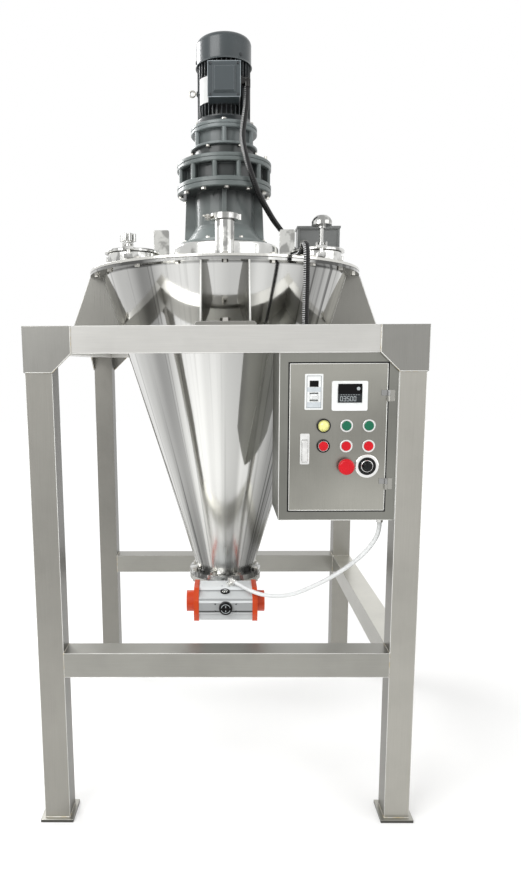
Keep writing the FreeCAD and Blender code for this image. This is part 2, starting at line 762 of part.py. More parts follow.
def fan_cover():
    low = fin_top - fan_cover_lap
    top = low + fan_cover_height
    lip = revolve([(fan_cover_radius - 1, low), (fan_cover_radius + 3, low), (fan_cover_radius, low + 6),
                   (fan_cover_radius - 1, low + 6)])
    outer = rod(fan_cover_radius, 0, 0, low, top)
    rim = [edge for edge in outer.Edges if abs(edge.BoundBox.ZMin - top) < 0.1]
    outer = outer.makeFillet(fan_cover_edge, rim)
    inner = rod(fan_cover_radius - fan_cover_wall, 0, 0, low - 1, top - fan_cover_wall)
    inner_top = top - fan_cover_wall
    inner = inner.makeFillet(fan_cover_edge - fan_cover_wall,
                             [edge for edge in inner.Edges if abs(edge.BoundBox.ZMin - inner_top) < 0.1])
    cover = outer.cut(inner)
    slots = []
    for radius in (24.0, 38.0, 52.0, 66.0):
        slot = Part.makeCylinder(radius + 9, 6, vector(0, 0, top - 4), up, 72)
        slot = slot.cut(rod(radius, 0, 0, top - 5, top + 3))
        slots += ring_of(slot, 4, radius)
    spacer = box(-4, 4, -fan_cover_radius + fan_cover_wall * 0.5, -fin_radius - 0.15, low, low + 8)
    spacers = ring_of(spacer, 4, 45)
    return cover.cut(slots).fuse([lip] + spacers)


def motor_rotor():
    # The shaft with the cooling fan at its upper end; the windings' part is closed in.
    base = fin_top + 8.0
    shaft = rod(rotor_radius, 0, 0, first_case_top + 22, base + fan_blade_height + 6)
    hub = rod(22, 0, 0, base, base + fan_blade_height)
    plate = rod(fan_radius, 0, 0, base, base + 3)
    blade = box(-1.25, 1.25, -fan_radius, -18, base, base + fan_blade_height)
    return shaft.fuse([hub, plate] + ring_of(blade, fan_blade_count, 10))


def terminal_box():
    half = terminal_width / 2
    low = terminal_level() - terminal_height / 2
    high = terminal_level() + terminal_height / 2
    body = box(-half, half, terminal_front, -fin_radius, low, high)
    edges = [edge for edge in body.Edges if edge.BoundBox.YLength > 10]
    body = body.makeFillet(7, edges)
    hollow = box(8 - half, half - 8, terminal_front - 1, -fin_radius - 6, low + 8, high - 8)
    return body.cut([hollow, rod_x(9, conduit_start()[1], terminal_level() + 4, 0, half + 5)])


def terminal_box_cover():
    half = terminal_width / 2
    low = terminal_level() - terminal_height / 2
    high = terminal_level() + terminal_height / 2
    plate = box(-half, half, terminal_front - 4, terminal_front, low, high)
    plate = plate.makeFillet(7, [edge for edge in plate.Edges if edge.BoundBox.YLength > 3])
    crown = box(17 - half, half - 17, terminal_front - terminal_cover_depth, terminal_front - 3,
                low + 14, high - 14)
    crown = crown.makeChamfer(6, [edge for edge in crown.Edges
                                  if edge.BoundBox.YMax < terminal_front - terminal_cover_depth + 0.1])
    return plate.fuse(crown)


def drive_fasteners():
    pieces = []
    foot = plinth_top + bell_foot_thickness
    pieces += ring_of(hexagon(4, 0, -bell_foot_radius + bell_foot_land / 2, foot, foot + 6), 8, 22.5)
    pieces += ring_of(hexagon(5, 0, -main_case_radius + 14, bell_top - 7, bell_top), 12, 3)
    neck_bolt = hexagon(3.5, 0, -neck_case_radius - 7.2, first_case_bottom - 6, first_case_bottom)
    pieces += ring_of(neck_bolt, 6, 30)
    pieces += ring_of(hexagon(4, 0, -first_case_radius + 9, first_case_top, first_case_top + 5), 6, 0)
    plug = rod(5, 0, -main_case_radius + 12, main_case_top, main_case_top + 14)
    pieces.append(turned(plug, 68))
    ring_z = fin_bottom + eye_height
    ring = Part.makeTorus(10, 3, vector(-fin_radius - 19, 0, ring_z), inward)
    shank = rod_x(4, 0, ring_z, -fin_radius - 11, -fin_radius - 3)
    pieces.append(ring.fuse(shank))
    return pieces


# Mixing gear inside the cone

def screw_offset(z):
    # Distance of a screw's axis from the cone's axis at a height.
    tilt = math.radians(cone_angle)
    return cone_radius(z) - wall_across - (screw_radius + screw_wall_gap) / math.cos(tilt)


def main_shaft():
    return rod(shaft_radius, 0, 0, arm_level - 20, bell_top + 38)


def screw_frame(shape, side):
    # Put a shape made upright at the origin on the axis of the right (1) or left (-1) screw.
    copy = shape.copy()
    copy.rotate(centre, inward, cone_angle)
    copy.translate(vector(screw_offset(arm_level), 0, arm_level))
    return copy if side > 0 else turned(copy, 180)


def revolving_arm():
    # A hub on the main shaft with two tubular arms, each ending in a tilted bearing head.
    pieces = []
    bores = []
    for side in (1, -1):
        tube = rod_x(arm_tube_radius, 0, arm_level, 0, screw_offset(arm_level) * 0.98)
        pieces.append(tube if side > 0 else turned(tube, 180))
        head = rod(arm_head_radius, 0, 0, -arm_head_length / 2, arm_head_length / 2)
        pieces.append(screw_frame(head, side))
        bores.append(screw_frame(rod(journal_radius + shaft_clearance, 0, 0, -arm_head_length, 20), side))
    hub = revolve([(0, arm_level - 46), (arm_hub_radius - 14, arm_level - 46),
                   (arm_hub_radius, arm_level - 32),
                   (arm_hub_radius, arm_level + 34), (arm_hub_radius - 16, arm_level + 50),
                   (0, arm_level + 50)])
    body = hub.fuse(pieces).cut(bores)
    return body.cut(rod(shaft_radius, 0, 0, arm_level - 20, arm_level + 60))


def screw_shaft(length, side):
    top = -arm_head_length / 2 - 4
    core = rod(screw_core_radius, 0, 0, top - length, top)
    journal = rod(journal_radius, 0, 0, top - 1, 18)
    nose = Part.makeCone(8, screw_core_radius, 14, vector(0, 0, top - length - 14), up)
    return screw_frame(core.fuse([journal, nose]), side)


def screw_flight(length, side):
    # A helical blade: its square-edged section swept along a helix on the shaft.
    top = -arm_head_length / 2 - 20
    height = length - 30
    inner = screw_core_radius + 0.03
    spine = Part.Wire(Part.makeHelix(screw_pitch, height - flight_thickness, inner).Edges)
    corners = [vector(inner, 0, 0), vector(screw_radius, 0, 0),
               vector(screw_radius, 0, flight_thickness), vector(inner, 0, flight_thickness)]
    blade = spine.makePipeShell([Part.makePolygon(corners + corners[:1])], True, True)
    blade.translate(vector(0, 0, top - height))
    return screw_frame(blade, side)


# Outlet valve and actuator

def valve_body():
    inner = valve_bore
    outer = valve_bore + valve_barrel_wall
    flange_low = valve_top - outlet_flange_thickness
    spigot_top = valve_top - spigot_top_drop
    body = revolve([(inner, spigot_bottom), (inner + spigot_wall, spigot_bottom),
                    (inner + spigot_wall, spigot_top), (outer, spigot_top), (outer, flange_low),
                    (outlet_flange_radius, flange_low), (outlet_flange_radius, valve_top),
                    (inner, valve_top)])
    neck_back = actuator_front + actuator_depth
    neck = rod_y(neck_radius, 0, stem_level, neck_back + 8, -inner - 2)
    pad = box(-36, 36, neck_back, neck_back + 10, stem_level - 36, stem_level + 36)
    rear = rod_y(20, 0, stem_level, inner + 2, outer + 16)
    body = body.fuse([neck.cut(rod(outer - 1, 0, 0, spigot_bottom, valve_top)), pad,
                      rear.cut(rod(outer - 1, 0, 0, spigot_bottom, valve_top))])
    body = body.cut(rod_y(stem_radius + stem_clearance, 0, stem_level, neck_back - 1, outer + 10))
    return body.cut(outlet_holes(flange_low - 1, valve_top + 1))


def valve_disc():
    # Disc and stem in one; the stem runs forward through the actuator to the indicator.
    disc = Part.makeSphere(valve_bore - disc_gap, vector(0, 0, stem_level))
    disc = disc.common(box(-valve_bore, valve_bore, -valve_bore, valve_bore,
                           stem_level - disc_thickness / 2, stem_level + disc_thickness / 2))
    stem = rod_y(stem_radius, 0, stem_level, actuator_front - 4, valve_bore + valve_barrel_wall + 9)
    boss = rod_y(stem_radius + 6, 0, stem_level, -valve_bore * 0.75, valve_bore * 0.75)
    return disc.fuse([stem, boss])


def actuator_body():
    # Extruded rack housing: flat stem pad in front, stepped shoulders, grooved sides.
    half = actuator_length / 2
    rise = actuator_rise
    drop = -actuator_drop
    front = actuator_front
    back = actuator_front + actuator_depth
    outline = [(front, -24), (front, 26), (front + 5, 29), (front + 5, 33), (front + 40, rise - 12),
               (front + 40, rise - 8), (front + 52, rise), (back - 26, rise), (back - 5, 37), (back, 34),
               (back, -30), (back - 5, -33), (back - 26, drop), (front + 12, drop), (front + 6, drop + 5),
               (front + 6, -27), (front + 3, -24)]
    body = slab([(-half, y, stem_level + z) for y, z in outline], vector(actuator_length, 0, 0))
    body = body.cut(rod_y(stem_radius + stem_clearance, 0, stem_level, front - 1, back + 1))
    for x in (-40, 40):
        for z in (-15, 15):
            body = body.cut(rod_y(2.5, x, stem_level + z, front - 1, front + 8))
    port_y = front + 62
    for x in (-12, 12):
        body = body.cut(rod(6, x, port_y, stem_level + rise - 8, stem_level + rise + 1))
    return body


def actuator_end_caps():
    half = actuator_length / 2
    rise = actuator_rise + 3
    drop = -actuator_drop - 3
    front = actuator_front - 2
    back = actuator_front + actuator_depth + 2
    middle_y = (front + back) / 2
    caps = []
    for sign in (-1, 1):
        outline = [(front, -24), (front, 26), (front + 38, rise), (back - 24, rise), (back, 34), (back, -30),
                   (back - 24, drop), (front + 12, drop)]
        x = sign * half
        plate = slab([(x, y, stem_level + z) for y, z in outline], vector(sign * end_cap_plate, 0, 0))
        x0, x1 = sorted((x + sign * (end_cap_plate - 1), x + sign * (end_cap_plate + end_cap_boss)))
        boss = rod_x(end_cap_boss_radius, middle_y, stem_level, x0, x1)
        caps.append(plate.fuse(boss))
    return caps


def position_indicator():
    front = actuator_front - 0.5
    cap = rod_y(indicator_radius, 0, stem_level, front - indicator_height, front)
    face = front - indicator_height
    cap = cap.makeChamfer(3, [edge for edge in cap.Edges if edge.BoundBox.YMax < face + 0.1])
    bar = box(-indicator_radius + 6, indicator_radius - 6, face - 3, face + 1, stem_level - 4, stem_level + 4)
    return cap.fuse(bar).cut(rod_y(stem_radius, 0, stem_level, actuator_front - 4, front + 1))


# Control cabinet

def cabinet_case():
    case = box(cabinet_left, cabinet_right, cabinet_front, cabinet_back, cabinet_bottom, cabinet_top)
    inner = box(cabinet_left + sheet, cabinet_right - sheet, cabinet_front + sheet, cabinet_back - sheet,
                cabinet_bottom + sheet, cabinet_top - sheet)
    opening = box(door_left - door_gap, door_right + door_gap, cabinet_front - 1, cabinet_front + sheet + 1,
                  door_bottom - door_gap, door_top + door_gap)
    case = case.cut([inner, opening])
    conduit_end = conduit_route()[-1]
    case = case.cut(rod(conduit_radius, conduit_end[0], conduit_end[1], cabinet_top - 10, cabinet_top + 1))
    hose_start = hose_route()[0]
    return case.cut(rod(hose_radius, hose_start[0], hose_start[1], cabinet_bottom - 1, cabinet_bottom + 10))


def button_places():
    # Column and row of the two start buttons, the three stop buttons.
    rows = [button_row_top, button_row_top - button_row_pitch]
    return [(button_columns[1], rows[0]), (button_columns[2], rows[0]),
            (button_columns[0], rows[1]), (button_columns[1], rows[1]), (button_columns[2], rows[1])]


def lamp_place():
    return button_columns[0], button_row_top


def stop_place():
    return button_columns[1], button_row_top - 2 * button_row_pitch


def switch_place():
    return button_columns[2] - 3, button_row_top - 2 * button_row_pitch


def timer_box():
    return cabinet_left + 155, cabinet_left + 261, cabinet_top - 172, cabinet_top - 84


def breaker_box():
    return cabinet_left + 75, cabinet_left + 129, cabinet_top - 169, cabinet_top - 63


def latch_box():
    return cabinet_left + 63, cabinet_left + 91, cabinet_top - 333, cabinet_top - 240


def hinge_levels():
    return cabinet_top - 145, cabinet_top - 411


def cabinet_door():
    # A pan door: flat front with a folded return all round, pierced for the controls.
    front = box(door_left, door_right, door_face, door_face + sheet, door_bottom, door_top)
    rim = box(door_left, door_right, door_face, door_face + door_return, door_bottom, door_top)
    rim = rim.cut(box(door_left + sheet, door_right - sheet, door_face - 1, door_face + door_return + 1,
                      door_bottom + sheet, door_top - sheet))
    door = front.fuse(rim)
    y0 = door_face - 1
    y1 = door_face + sheet + 1
    places = button_places() + [lamp_place(), stop_place(), switch_place()]
    holes = [rod_y(11.5, x, z, y0, y1) for x, z in places]
    for x0, x1, z0, z1 in (timer_box(), breaker_box()):
        holes.append(box(x0 + 6, x1 - 6, y0, y1, z0 + 6, z1 - 6))
    return door.cut(holes)


def hinge_axis():
    return door_right + 3.0, door_face - 4.0


def door_hinges():
    # Fixed leaf, lower knuckle and pin of each hinge.
    x, y = hinge_axis()
    hinges = []
    for z in hinge_levels():
        leaf = box(x, x + 20, cabinet_front - sheet, cabinet_front, z, z + 34)
        knuckle = rod(5, x, y, z, z + 16.7)
        pin = rod(2.5, x, y, z + 10, z + 33)
        web = box(x, x + 5, y, cabinet_front, z, z + 16.7)
        hinges.append(leaf.cut(rod(5.6, x, y, z + 16.7, z + 40)).fuse([knuckle, web, pin]))
    return hinges


def door_hardware():
    # Moving hinge leaves and the base of the latch.
    x, y = hinge_axis()
    pieces = []
    for z in hinge_levels():
        leaf = box(x - 21, x, door_face - sheet, door_face, z + 17, z + 34)
        knuckle = rod(5, x, y, z + 17, z + 34)
        piece = leaf.fuse([knuckle, box(x - 5, x, y, door_face, z + 17, z + 34)])
        pieces.append(piece.cut(rod(2.5 + stem_clearance, x, y, z, z + 33.4)))
    x0, x1, z0, z1 = latch_box()
    base = box(x0, x1, door_face - 7, door_face, z0, z1)
    base = base.makeFillet(4, [edge for edge in base.Edges if edge.BoundBox.YLength > 3])
    base = base.cut(box(x0 + 5, x1 - 5, door_face - 8, door_face - 2, z0 + 6, z1 - 18))
    pieces.append(base)
    return pieces


def latch_axis():
    x0, x1, z0, z1 = latch_box()
    return door_face - 7.0, z1 - 24.0


def latch_handle():
    x0, x1, z0, z1 = latch_box()
    y, z = latch_axis()
    lever = box(x0 + 6, x1 - 6, y - 3, y + 3, z0 + 9, z)
    barrel = rod_x(4.5, y, z, x0 + 5.3, x1 - 5.3)
    tab = box(x1 - 6.5, x1 - 3, y - 8, y - 3, z - 12, z)
    return lever.fuse([barrel, tab])


def panel_instruments():
    # Timer and breaker: faces proud of the door, bodies behind it.
    x0, x1, z0, z1 = timer_box()
    face = box(x0, x1, door_face - 9, door_face, z0, z1)
    face = face.makeFillet(5, [edge for edge in face.Edges if edge.BoundBox.YLength > 5])
    face = face.cut(box(x0 + 16, x1 - 16, door_face - 10, door_face - 7.5, z0 + 16, z1 - 16))
    timer = face.fuse(box(x0 + 8, x1 - 8, door_face - 1, door_face + 62, z0 + 8, z1 - 8))
    x0, x1, z0, z1 = breaker_box()
    frame = box(x0, x1, door_face - 6, door_face, z0, z1)
    frame = frame.makeFillet(3, [edge for edge in frame.Edges if edge.BoundBox.YLength > 3])
    breaker = frame.fuse(box(x0 + 8, x1 - 8, door_face - 1, door_face + 60, z0 + 8, z1 - 8))
    middle = (x0 + x1) / 2
    z = toggle_axis()[1]
    breaker = breaker.cut([box(middle - 13, middle + 13, door_face - 8, door_face + 9, z - 13, z + 13),
                           box(middle - 13, middle + 13, door_face - 8, door_face - 3, z1 - 38, z1 - 20)])
    return [timer, breaker]


def toggle_axis():
    x0, x1, z0, z1 = breaker_box()
    return door_face, z0 + 38.0


def breaker_toggle():
    x0, x1, z0, z1 = breaker_box()
    middle = (x0 + x1) / 2
    y, z = toggle_axis()
    barrel = rod_x(8.5, y, z, middle - 12.7, middle + 12.7)
    paddle = box(middle - 8, middle + 8, -14, 0, -3, 3)
    paddle.rotate(centre, across, -25)
    paddle.translate(vector(0, y, z))
    return barrel.fuse(paddle)


def button_bezels():
    # Threaded collars outside the door, each with a contact block inside.
    pieces = []
    for x, z in button_places():
        collar = rod_y(bezel_radius, x, z, door_face - 7, door_face)
        neck = rod_y(11.3, x, z, door_face - 1, door_face + 16)
        block = box(x - 15, x + 15, door_face + 15, door_face + 50, z - 20, z + 20)
        seat = rod_y(button_cap_radius + 0.4, x, z, door_face - 8, door_face - 0.2)
        piece = collar.fuse([neck, block]).cut(seat)
        pieces.append(piece.cut(rod_y(8.4, x, z, door_face - 2, door_face + 24)))
    x, z = stop_place()
    collar = rod_y(bezel_radius, x, z, door_face - 6, door_face)
    neck = rod_y(11.3, x, z, door_face - 1, door_face + 16)
    block = box(x - 15, x + 15, door_face + 15, door_face + 60, z - 20, z + 20)
    pieces.append(collar.fuse([neck, block]).cut(rod_y(8.4, x, z, door_face - 8, door_face + 34)))
    x, z = switch_place()
    ring = rod_y(switch_ring_radius, x, z, door_face - 8, door_face)
    ring = ring.makeFillet(3, [edge for edge in ring.Edges if edge.BoundBox.YMax < door_face - 7.9])
    ring = ring.cut(rod_y(switch_ring_radius - 10, x, z, door_face - 9, door_face - 3))
    block = box(x - 15, x + 15, door_face + 15, door_face + 50, z - 20, z + 20)
    piece = ring.fuse([rod_y(11.3, x, z, door_face - 1, door_face + 16), block])
    pieces.append(piece.cut(rod_y(5.06, x, z, door_face - 10, door_face + 30)))
    return pieces


def indicator_lamp():
    x, z = lamp_place()
    collar = rod_y(bezel_radius, x, z, door_face - 7, door_face)
    lens = Part.makeSphere(18, vector(x, door_face + 1, z))
    lens = lens.common(rod_y(button_cap_radius, x, z, door_face - 30, door_face))
    body = rod_y(11.3, x, z, door_face - 1, door_face + 42)
    return collar.fuse([lens, body])


def push_button(x, z):
    cap = rod_y(button_cap_radius, x, z, door_face - 11, door_face - 0.3 - button_travel)
    cap = cap.makeFillet(2, [edge for edge in cap.Edges if edge.BoundBox.YMax < door_face - 10.9])
    return cap.fuse(rod_y(8, x, z, door_face - 4, door_face + 24 - button_travel - 0.5))


def stop_mushroom():
    x, z = stop_place()
    stalk = rod_y(8, x, z, door_face - 20, door_face + 27)
    head = rod_y(mushroom_radius, x, z, door_face - 30, door_face - 15)
    head = head.makeFillet(7, [edge for edge in head.Edges if edge.BoundBox.YMax < door_face - 29.9])
    return stalk.fuse(head)


def selector_knob():
    x, z = switch_place()
    spindle = rod_y(5, x, z, door_face - 6, door_face + 28)
    skirt = rod_y(switch_knob_radius + 5, x, z, door_face - 7, door_face - 3.3)
    grip = Part.makeCone(switch_knob_radius, switch_knob_radius - 3, 19, vector(x, door_face - 6, z), -inward)
    mark = box(x - 1.5, x + 1.5, door_face - 27, door_face - 10, z, z + switch_knob_radius - 1)
    return spindle.fuse([skirt, grip, mark])


def switchgear():
    # Mounting plate with a rail, three contactors and a terminal strip.
    plate_y = cabinet_back - sheet - 12
    low = cabinet_bottom + 40
    high = cabinet_top - 40
    plate = box(cabinet_left + 22, cabinet_right - 22, plate_y - sheet, plate_y, low, high)
    for x in (cabinet_left + 34, cabinet_right - 34):
        for z in (low + 14, high - 14):
            plate = plate.fuse(rod_y(5, x, z, plate_y - 1, cabinet_back - sheet))
    rail_z = (low + high) / 2
    front = plate_y - sheet
    pieces = [plate, box(cabinet_left + 40, cabinet_right - 40, front - 7, front, rail_z - 17, rail_z + 17)]
    for i in range(3):
        x = cabinet_left + 60 + 62 * i
        body = box(x, x + 46, front - 80, front - 7, rail_z - 38, rail_z + 38)
        pieces.append(body.fuse(box(x + 8, x + 38, front - 90, front - 79, rail_z - 20, rail_z + 20)))
    pieces.append(box(cabinet_left + 50, cabinet_right - 60, front - 34, front, low + 30, low + 68))
    return pieces


# Conduit and air hose

def fitted(points, places):
    # Move a route so that the points named in places land there; those between share the move.
    known = sorted(places)
    moved = []
    for i, point in enumerate(points):
        before = max([k for k in known if k <= i])
        after = min([k for k in known if k >= i])
        share = (i - before) / (after - before) if after > before else 0.0
        shift = [(1 - share) * (places[before][k] - points[before][k])
                 + share * (places[after][k] - points[after][k])
                 for k in range(3)]
        moved.append(tuple(round(value + move, 3) for value, move in zip(point, shift)))
    return moved


def conduit_start():
    return (terminal_width / 2 + 22, terminal_front + 30, terminal_level() - 16)


def conduit_route():
    # From the elbow on the terminal box, behind the right lifting lug, over the rim, to the cabinet.
    points = [(78.0, -120.0, 2420.0), (78.0, -120.0, 2392.0), (76.0, -122.0, 2356.0), (69.0, -126.0, 2308.0),
              (64.0, -138.0, 2266.0), (65.0, -158.0, 2232.0), (72.0, -176.0, 2194.0),
              (86.0, -176.0, 2148.0), (104.0, -164.0, 2104.0), (126.0, -132.0, 2063.0),
              (150.0, -86.0, 2038.0), (171.0, -30.0, 2022.0), (191.0, 18.0, 2007.0), (216.0, 44.0, 1984.0),
              (244.0, 46.0, 1948.0), (267.0, 38.0, 1910.0), (283.0, 20.0, 1875.0), (289.0, -6.0, 1848.0),
              (282.0, -36.0, 1832.0), (258.0, -70.0, 1828.0), (230.0, -110.0, 1829.0),
              (207.0, -156.0, 1827.0), (200.0, -206.0, 1829.0), (211.0, -258.0, 1827.0),
              (228.0, -310.0, 1829.0), (240.0, -358.0, 1828.0), (244.0, -398.0, 1832.0),
              (245.0, -430.0, 1841.0), (246.0, -458.0, 1845.0), (247.0, -481.0, 1834.0),
              (248.0, -492.0, 1808.0), (248.0, -490.0, 1772.0), (249.0, -484.0, 1724.0),
              (248.0, -480.0, 1666.0), (248.0, -479.0, 1606.0), (249.0, -480.0, 1566.0),
              (249.0, -480.0, 1538.0)]
    x, y, z = conduit_start()
    gland_x = cabinet_left + 89
    gland_y = cabinet_front + 110
    lug = lug_block_x + 5
    places = {0: (x, y, z), 1: (x, y, z - 28), 14: (lug, lug_block_depth / 2 + 36, lid_top + 134),
              18: (lug + 38, -36.0, lid_top + 18), 25: (240.0, 137 - lid_radius, lid_top + 14),
              28: (246.0, 37 - lid_radius, lid_top + 31), 30: (248.0, 3 - lid_radius, lid_top - 6),
              34: (gland_x - 1, gland_y + 1, cabinet_top + 92), 35: (gland_x, gland_y, cabinet_top + 52),
              36: (gland_x, gland_y, cabinet_top + 24)}
    return fitted(points, places)


def hose_route():
    # From the cabinet's floor in one sagging bow to the elbow above the actuator.
    points = [(482.0, -540.0, 989.0), (482.0, -540.0, 962.0), (470.0, -532.0, 926.0),
              (446.0, -512.0, 882.0), (414.0, -488.0, 842.0), (376.0, -456.0, 800.0), (334.0, -428.0, 762.0),
              (289.0, -398.0, 728.0), (243.0, -372.0, 697.0), (190.0, -346.0, 677.0), (134.0, -318.0, 672.0),
              (90.0, -292.0, 679.0), (58.0, -264.0, 688.0), (36.0, -242.0, 694.0)]
    x = cabinet_right - 33
    y = cabinet_front + 50
    elbow_level = stem_level + actuator_rise + 15
    elbow_y = actuator_front + 56
    places = {0: (x, y, cabinet_bottom - 18), 1: (x, y, cabinet_bottom - 45),
              12: (58.0, elbow_y - 22, elbow_level - 6), 13: (36.0, elbow_y, elbow_level)}
    return fitted(points, places)


def route_corner(before, point, after):
    # Tangent length and radius of the arc at one point of a route.
    first = vector(*point) - vector(*before)
    second = vector(*after) - vector(*point)
    half_turn = first.getAngle(second) / 2
    tangent = 0.45 * min(first.Length, second.Length)
    return tangent, tangent / math.tan(half_turn)


def tube_on(name, route, radius):
    # Straight runs joined by tangent arcs, with a round section swept along them.
    edges = []
    cursor = vector(*route[0])
    radii = []
    for before, point, after in zip(route, route[1:], route[2:]):
        tangent, bend = route_corner(before, point, after)
        radii.append(round(bend))
        corner = vector(*point)
        towards = (corner - vector(*before)).normalize()
        away = (vector(*after) - corner).normalize()
        start = corner - towards * tangent
        finish = corner + away * tangent
        bisector = (away - towards).normalize()
        hub = corner + bisector * math.hypot(bend, tangent)
        middle = hub - bisector * bend
        edges.append(Part.LineSegment(cursor, start).toShape())
        edges.append(Part.Arc(start, middle, finish).toShape())
        cursor = finish
    edges.append(Part.LineSegment(cursor, vector(*route[-1])).toShape())
    path = Part.Wire(edges)
    heading = (vector(*route[1]) - vector(*route[0])).normalize()
    section = Part.Wire(Part.makeCircle(radius, vector(*route[0]), heading))
    tube = path.makePipeShell([section], True, False, 2)
    expected = math.pi * radius ** 2 * path.Length
    share = round(tube.Volume / expected, 4)
    print(name, "radii", radii, "length", round(path.Length), "volume ratio", share)
    return tube


def cable_fittings():
    # Elbow at the terminal box, glands on the cabinet and the elbow on the actuator.
    x, y, z = conduit_start()
    level = terminal_level() + 4
    elbow = rod_x(13, y, level, terminal_width / 2, x + 6).fuse([rod(13, x, y, z, level + 6)])
    elbow = elbow.fuse(rod_x(17, y, level, terminal_width / 2, terminal_width / 2 + 6))
    x, y, z = conduit_route()[-1]
    top_gland = rod(15, x, y, cabinet_top, z).fuse(rod(18, x, y, cabinet_top, cabinet_top + 8))
    x, y, z = hose_route()[0]
    low_gland = rod(10, x, y, z, cabinet_bottom).fuse(rod(13, x, y, cabinet_bottom - 7, cabinet_bottom))
    tip = hose_route()[-1]
    before = hose_route()[-2]
    heading = (vector(*before) - vector(*tip)).normalize()
    base = vector(*tip) - heading * 26
    spout = Part.makeCylinder(9, 26, base, heading)
    actuator_top = stem_level + actuator_rise
    post = rod(10, base.x, base.y, actuator_top, base.z + 8)
    nut = hexagon(8, base.x, base.y, actuator_top, actuator_top + 8)
    return [elbow, top_gland, low_gland, post.fuse([spout, nut])]


save("legs", legs())
save("top_rails", top_rails())
save("lower_rails", lower_rails())
save("corner_caps", corner_caps())
save("foot_plates", foot_plates())
save("cone_shell", cone_shell())
save("support_lugs", support_lugs())
save("lid_plate", lid_plate())
save("gaskets", gaskets())
save("vessel_bolts", vessel_bolts())
save("manhole_necks", [manhole_neck(-manhole_x), manhole_neck(manhole_x)])
save("left_manhole_cover", manhole_cover(-manhole_x))
save("right_manhole_cover", manhole_cover(manhole_x))
save("left_hand_screw", hand_screw(-manhole_x, left_knob_rise, False))
save("right_hand_screw", hand_screw(manhole_x, right_knob_rise, True))
save("charging_nozzle", charging_nozzle())
save("nozzle_cap", nozzle_cap())
save("nozzle_clamp", nozzle_clamp())
save("nozzle_wing_nut", nozzle_wing_nut())
save("lifting_lugs", lifting_lugs())
save("filter_box", filter_box())
save("drive_plinth", drive_plinth())
save("bell_stand", bell_stand())
save("main_reducer_case", main_reducer_case())
save("first_reducer_case", first_reducer_case())
save("motor_frame", motor_frame())
save("fan_cover", fan_cover())
save("motor_rotor", motor_rotor())
save("terminal_box", terminal_box())
save("terminal_box_cover", terminal_box_cover())
save("drive_fasteners", drive_fasteners())
save("main_shaft", main_shaft())
save("revolving_arm", revolving_arm())
save("long_screw", [screw_shaft(long_screw_length, 1), screw_flight(long_screw_length, 1)])
save("short_screw", [screw_shaft(short_screw_length, -1), screw_flight(short_screw_length, -1)])
save("valve_body", valve_body())
save("valve_disc", valve_disc())
save("actuator_body", actuator_body())
save("actuator_end_caps", actuator_end_caps())
save("position_indicator", position_indicator())
save("cabinet_case", cabinet_case())
save("cabinet_door", cabinet_door())
save("door_hinges", door_hinges())
save("door_hardware", door_hardware())
save("latch_handle", latch_handle())
save("panel_instruments", panel_instruments())
save("breaker_toggle", breaker_toggle())
save("button_bezels", button_bezels())
save("indicator_lamp", indicator_lamp())
button_names = ("green_button_left", "green_button_right", "red_button_left", "red_button_middle",
                "red_button_right")
for button_name, (button_x, button_z) in zip(button_names, button_places()):
    save(button_name, push_button(button_x, button_z))
save("stop_mushroom", stop_mushroom())
save("selector_knob", selector_knob())
save("switchgear", switchgear())
save("cable_fittings", cable_fittings())
save("motor_conduit", tube_on("motor_conduit", conduit_route(), conduit_radius))
save("air_hose", tube_on("air_hose", hose_route(), hose_radius))
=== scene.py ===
import math
import bpy
import numpy as np
from mathutils import Matrix, Vector


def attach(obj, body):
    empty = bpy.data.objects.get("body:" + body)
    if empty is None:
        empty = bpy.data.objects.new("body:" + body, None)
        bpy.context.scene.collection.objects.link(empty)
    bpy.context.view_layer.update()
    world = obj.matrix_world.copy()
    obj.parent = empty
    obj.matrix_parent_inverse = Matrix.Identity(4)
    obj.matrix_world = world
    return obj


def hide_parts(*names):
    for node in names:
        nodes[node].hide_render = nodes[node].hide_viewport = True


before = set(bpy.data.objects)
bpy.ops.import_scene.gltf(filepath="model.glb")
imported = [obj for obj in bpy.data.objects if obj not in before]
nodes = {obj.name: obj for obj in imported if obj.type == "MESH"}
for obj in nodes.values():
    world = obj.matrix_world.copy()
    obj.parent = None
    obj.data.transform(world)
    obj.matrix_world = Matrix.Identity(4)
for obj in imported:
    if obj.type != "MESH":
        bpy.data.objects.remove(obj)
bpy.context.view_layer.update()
print("frame loaded:", len(nodes), "nodes")

# Camera, at the photograph's viewing angle

cameraPlace = {
    "place": (-0.01135, -2.61784, 1.4793),
    "pitch": 8.725,
    "yaw": -0.628,
    "roll": -0.288,
    "lens": 27.97,
    "sensor": 36.0,
    "shift": (0.0526, 0.0379),
}


def makeCamera(place):
    # Looks along +Y, turned by yaw about Z, tipped down by pitch, then rolled about its own line of sight.
    pitch, yaw, roll = (math.radians(place[key]) for key in ("pitch", "yaw", "roll"))
    across = Vector((math.cos(yaw), -math.sin(yaw), 0))
    ahead = Vector((math.sin(yaw), math.cos(yaw), 0))
    upright = Vector((0, 0, 1))
    sight = ahead * math.cos(pitch) - upright * math.sin(pitch)
    down = -upright * math.cos(pitch) - ahead * math.sin(pitch)
    right = across * math.cos(roll) - down * math.sin(roll)
    below = across * math.sin(roll) + down * math.cos(roll)
    turn = Matrix((right, -below, -sight)).transposed().to_4x4()
    data = bpy.data.cameras.new("camera")
    data.lens = place["lens"]
    data.sensor_width = place["sensor"]
    data.shift_x, data.shift_y = place["shift"]
    camera = bpy.data.objects.new("camera", data)
    camera.matrix_world = Matrix.Translation(place["place"]) @ turn
    bpy.context.scene.collection.objects.link(camera)
    bpy.context.scene.camera = camera


makeCamera(cameraPlace)


# Meshes

